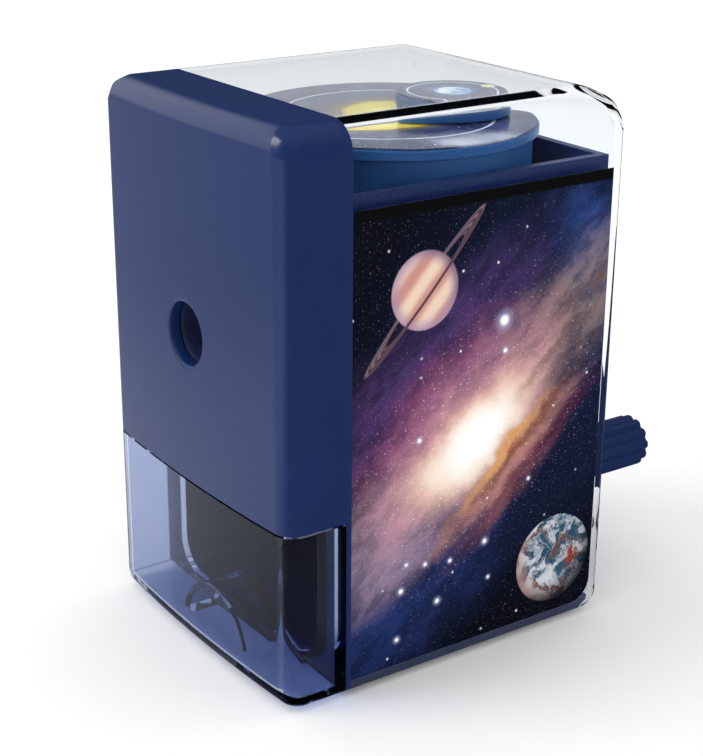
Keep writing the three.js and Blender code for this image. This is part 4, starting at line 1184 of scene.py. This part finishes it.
table_film = rod_along_z(
    "turntable_film",
    (TURNTABLE_AT[0] * MM, TURNTABLE_AT[1] * MM, 0),
    28.7 * MM,
    102.4 * MM,
    102.7 * MM,
    160,
)
film_hole = rod_along_z(
    "film_hole", (planet_middle.x, planet_middle.y, 0), 2.6 * MM, 101 * MM, 104 * MM
)
take_away(table_film, film_hole)
smooth(table_film)
place_piece(
    table_film, orrery_print("printed_orrery_film_varnished"), "turntable", "sky_print", "turntable_print"
)

# ---- planet disc ---------------------------------------------------------------------------
# The small disc stands off the turntable on its spindle. It is moulded in the same blue ABS, and its film
# shows the earth and the moon's orbit.

PLANET_PROFILE = (
    (0, 105.4),
    (10.95, 105.4),
    (11.2, 105.15),
    (11.2, 103.25),
    (10.95, 103),
    (2.3, 103),
    (2.3, 104.65),
    (0, 104.65),
)
MOON_ORBIT_R = 8.9

planet_centre = (planet_middle.x, planet_middle.y, 0)
planet = turn_profile(
    "planet_disc_moulding",
    [(radius * MM, height * MM) for radius, height in PLANET_PROFILE],
    planet_centre,
    (0, 0, 1),
    96,
)
smooth(planet)
place_piece(planet, blue_abs, "planet", "navy_abs", "planet_disc")


def moon_print(name):
    finish, tree, output = new_finish(name)
    place = flat_place(tree, "X", "Y")
    middle = (planet_middle.x / MM, planet_middle.y / MM)
    reach = length_of(tree, local_place(tree, place, middle, (1, 1)))
    picture = inked(tree, to_linear("#191d3c"), "#333a63", cloud(tree, place, 9)["Fac"])
    picture = inked(tree, picture, "#e9ecff", stars(tree, place, 2, 0.22, 0.4), "SCREEN")
    picture = inked(tree, picture, "#5f86bf", spread(tree, reach, 2, 6.5, 0.85, 0), "SCREEN")
    picture = inked(tree, picture, "#7fa6cf", spread(tree, reach, 3.4, 4.1, 1, 0))
    swirl = cloud(tree, stirred(tree, place, 3, 3), 3.2)["Fac"]
    earth = math_of(
        tree, "MULTIPLY", spread(tree, reach, 3.3, 3.9, 1, 0), spread(tree, swirl, 0.42, 0.6, 0, 1)
    )
    picture = inked(tree, picture, "#f0f5fa", earth)
    picture = inked(tree, picture, "#cfd6ea", ring_line(tree, reach, MOON_ORBIT_R, 0.22))
    moon = (middle[0], middle[1] + MOON_ORBIT_R)
    globe = length_of(tree, local_place(tree, place, moon, (1.5, 1.5)))
    picture = inked(tree, picture, "#efe6a8", spread(tree, globe, 0.85, 1.05, 1, 0))
    printed_film(tree, output, picture, (0.16, 0.24))
    return finish


planet_film = rod_along_z("planet_film", planet_centre, 10.8 * MM, 105.4 * MM, 105.7 * MM, 96)
smooth(planet_film)
place_piece(planet_film, moon_print("printed_moon_film_varnished"), "planet", "sky_print", "planet_print")

# ---- crank ---------------------------------------------------------------------------------
# The crank arm is a navy ABS moulding pressed on the shaft's flat and held by a screw. The fluted knob
# turns on a steel pin at its end.

ARM_EDGE = 0.8 * MM
KNOB_R = 5.7 * MM
KNOB_FLUTES = 12
KNOB_STEPS_A_FLUTE = 8
KNOB_FIRST_FLUTE = 2
# How deep each line of a flute is, from its middle to its edge
KNOB_FLUTE_DEPTHS = (0.6 * MM, 0.45 * MM, 0.12 * MM)
KNOB_END = 0.9 * MM
KNOB_BORE_R = 2.3 * MM
KNOB_BORE_TO = 61.5 * MM

arm = softened("crank_arm", "crank_arm_moulding", ARM_EDGE, 4, 40)
place_piece(arm, navy_abs, "crank", "navy_abs", "crank_arm")

pin = softened("knob_pin", "knob_pin_turned", 0.2 * MM)
place_piece(pin, turned_steel, frame["nodes"]["knob_pin"]["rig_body"], "turned_steel", "knob_pin")

knob_low, knob_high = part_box("knob")
knob_middle = (knob_low + knob_high) / 2
knob_sides = KNOB_FLUTES * KNOB_STEPS_A_FLUTE
bpy.ops.object.select_all(action="DESELECT")
bpy.ops.mesh.primitive_cylinder_add(
    vertices=knob_sides,
    radius=KNOB_R,
    depth=knob_high.y - knob_low.y,
    location=knob_middle,
    rotation=(math.pi / 2, 0, 0),
)
knob = bpy.context.active_object
bpy.ops.object.transform_apply(location=True, rotation=True, scale=True)
knob.name = "fluted_knob"
knob.data.name = "fluted_knob"
for line, depth in enumerate(KNOB_FLUTE_DEPTHS):
    start_edit(knob)
    bpy.ops.mesh.select_all(action="DESELECT")
    end_edit()
    for vertex in knob.data.vertices:
        out = vertex.co - knob_middle
        turn = math.atan2(out.z, out.x) / (2 * math.pi)
        step = (round(turn * knob_sides) + KNOB_FIRST_FLUTE) % KNOB_STEPS_A_FLUTE
        vertex.select = min(step, KNOB_STEPS_A_FLUTE - step) == line
    start_edit(knob)
    share = 1 - depth / KNOB_R
    bpy.ops.transform.resize(value=(share, 1, share), center_override=knob_middle)
    end_edit()
weigh_edges(knob, lambda a, b: 1 if abs(a.y - b.y) < 1e-6 else 0)
apply(knob, "BEVEL", width=KNOB_END, segments=4, limit_method="WEIGHT", use_clamp_overlap=True)
knob_bore = rod_along_y(
    "knob_bore", knob_middle.x, knob_middle.z, KNOB_BORE_R, knob_low.y - MM, KNOB_BORE_TO, 48
)
take_away(knob, knob_bore)
smooth(knob)
place_piece(knob, navy_abs, "knob", "navy_abs", "knob")
bpy.data.objects.remove(case)

# ---- studio --------------------------------------------------------------------------------
# The sharpener stands on a plain pale floor under an even white sky, with one soft lamp above it, in
# front and to the left. Gloss sees a painted reflection: floor and sky are painted darker for glossy rays,
# with a painted bright side, so that navy stays deep.

FLOOR_SIZE = 12
FLOOR_PALE = (0.94, 0.94, 0.94, 1)
# The side where a bright reflection is painted, on the floor and in the sky
PAINTED_REFLECTION_SIDE = (-0.82, -0.57, 0)
PAINTED_REFLECTION_LIGHT = (-0.75, -0.45, 0.48)
SKY_STRENGTH = 1.04
LAMP_AT = (-0.35, -0.75, 0.8)
LAMP_AIM = (0, 0, 0.06)
LAMP_SIZE = 0.5
LAMP_POWER = 4
CAMERA_NEAR = 0.01
CAMERA_AZIMUTH = math.radians(55.348)
CAMERA_ELEVATION = math.radians(20.627)
CAMERA_ROLL = math.radians(0.338)
CAMERA_DISTANCE = 336.4 * MM
CAMERA_LENS = 79.12
CAMERA_AIM = Vector((0, 0, 55.8)) * MM
CAMERA_ASIDE = -1.662 * MM
CAMERA_RISE = -5.807 * MM


def mirrored_ray(tree):
    """1 for what a gloss mirrors, and 0 for what is seen directly or through clear plastic."""
    rays = node(tree, "ShaderNodeLightPath").outputs
    return math_of(tree, "SUBTRACT", rays["Is Glossy Ray"], rays["Is Transmission Ray"])


bpy.ops.object.select_all(action="DESELECT")
bpy.ops.mesh.primitive_plane_add(size=FLOOR_SIZE)
floor = bpy.context.active_object
floor.name = "studio_floor"
floor_finish, floor_tree, floor_output = new_finish("pale_studio_floor")
floor_place = node(floor_tree, "ShaderNodeTexCoord").outputs["Object"]
# Painted reflection: glossy rays see the floor painted dark grey behind on the right, bright just to the
# left of the front and mid grey further out on that side; all other rays see it pale
floor_side = node(
    floor_tree,
    "ShaderNodeVectorMath",
    {"operation": "DOT_PRODUCT"},
    {0: floor_place, 1: PAINTED_REFLECTION_SIDE},
).outputs["Value"]
floor_reflection_near = inked(
    floor_tree, to_linear("#44464d"), "#c9ccd6", spread(floor_tree, floor_side, -0.02, 0.09, 0, 1)
)
floor_painted_reflection = inked(
    floor_tree, floor_reflection_near, "#9699a6", spread(floor_tree, floor_side, 0.08, 0.28, 0, 1)
)
floor_body = node(
    floor_tree,
    "ShaderNodeBsdfDiffuse",
    inputs={"Color": inked(floor_tree, FLOOR_PALE, floor_painted_reflection, mirrored_ray(floor_tree))},
)
floor_tree.links.new(floor_body.outputs["BSDF"], floor_output.inputs["Surface"])
floor.data.materials.append(floor_finish)

world = bpy.data.worlds.new("soft_studio")
bpy.context.scene.world = world
world.use_nodes = True
world.node_tree.nodes.clear()
# Painted reflection: glossy rays see a dark grey sky, painted bright towards the left of the front and
# lighter grey overhead; all other rays see even white
sky_place = node(world.node_tree, "ShaderNodeTexCoord").outputs["Generated"]
sky_way = node(
    world.node_tree,
    "ShaderNodeVectorMath",
    {"operation": "DOT_PRODUCT"},
    {0: sky_place, 1: PAINTED_REFLECTION_LIGHT},
).outputs["Value"]
sky_painted_reflection = inked(
    world.node_tree, to_linear("#3a3e48"), "#ffffff", spread(world.node_tree, sky_way, 0.66, 0.92, 0, 1)
)
sky_height = node(world.node_tree, "ShaderNodeSeparateXYZ", inputs={"Vector": sky_place}).outputs["Z"]
sky_painted_reflection = inked(
    world.node_tree, sky_painted_reflection, "#7c8294", spread(world.node_tree, sky_height, 0.6, 0.8, 0, 1)
)
sky = node(
    world.node_tree,
    "ShaderNodeBackground",
    inputs={
        "Color": inked(world.node_tree, (1, 1, 1, 1), sky_painted_reflection, mirrored_ray(world.node_tree)),
        "Strength": SKY_STRENGTH,
    },
)
node(world.node_tree, "ShaderNodeOutputWorld", inputs={"Surface": sky.outputs["Background"]})


def soft_lamp(name, place, aim, size, power):
    """A square area lamp that looks at a point."""
    data = bpy.data.lights.new(name, "AREA")
    data.size = size
    data.energy = power
    lamp = bpy.data.objects.new(name, data)
    bpy.context.collection.objects.link(lamp)
    lamp.location = place
    lamp.rotation_euler = (Vector(aim) - Vector(place)).to_track_quat("-Z", "Y").to_euler()


soft_lamp("front_lamp", LAMP_AT, LAMP_AIM, LAMP_SIZE, LAMP_POWER)

camera_data = bpy.data.cameras.new("camera")
camera_data.lens = CAMERA_LENS
camera_data.clip_start = CAMERA_NEAR
camera = bpy.data.objects.new("camera", camera_data)
bpy.context.collection.objects.link(camera)
turn = (
    Matrix.Rotation(CAMERA_AZIMUTH, 4, "Z")
    @ Matrix.Rotation(math.pi / 2 - CAMERA_ELEVATION, 4, "X")
)
aim = CAMERA_AIM + turn.to_3x3() @ Vector((CAMERA_ASIDE, CAMERA_RISE, 0))
away = turn.to_3x3() @ Vector((0, 0, CAMERA_DISTANCE))
camera.matrix_world = Matrix.Translation(aim + away) @ turn @ Matrix.Rotation(CAMERA_ROLL, 4, "Z")
bpy.context.scene.camera = camera
bpy.context.scene.view_settings.view_transform = "Standard"
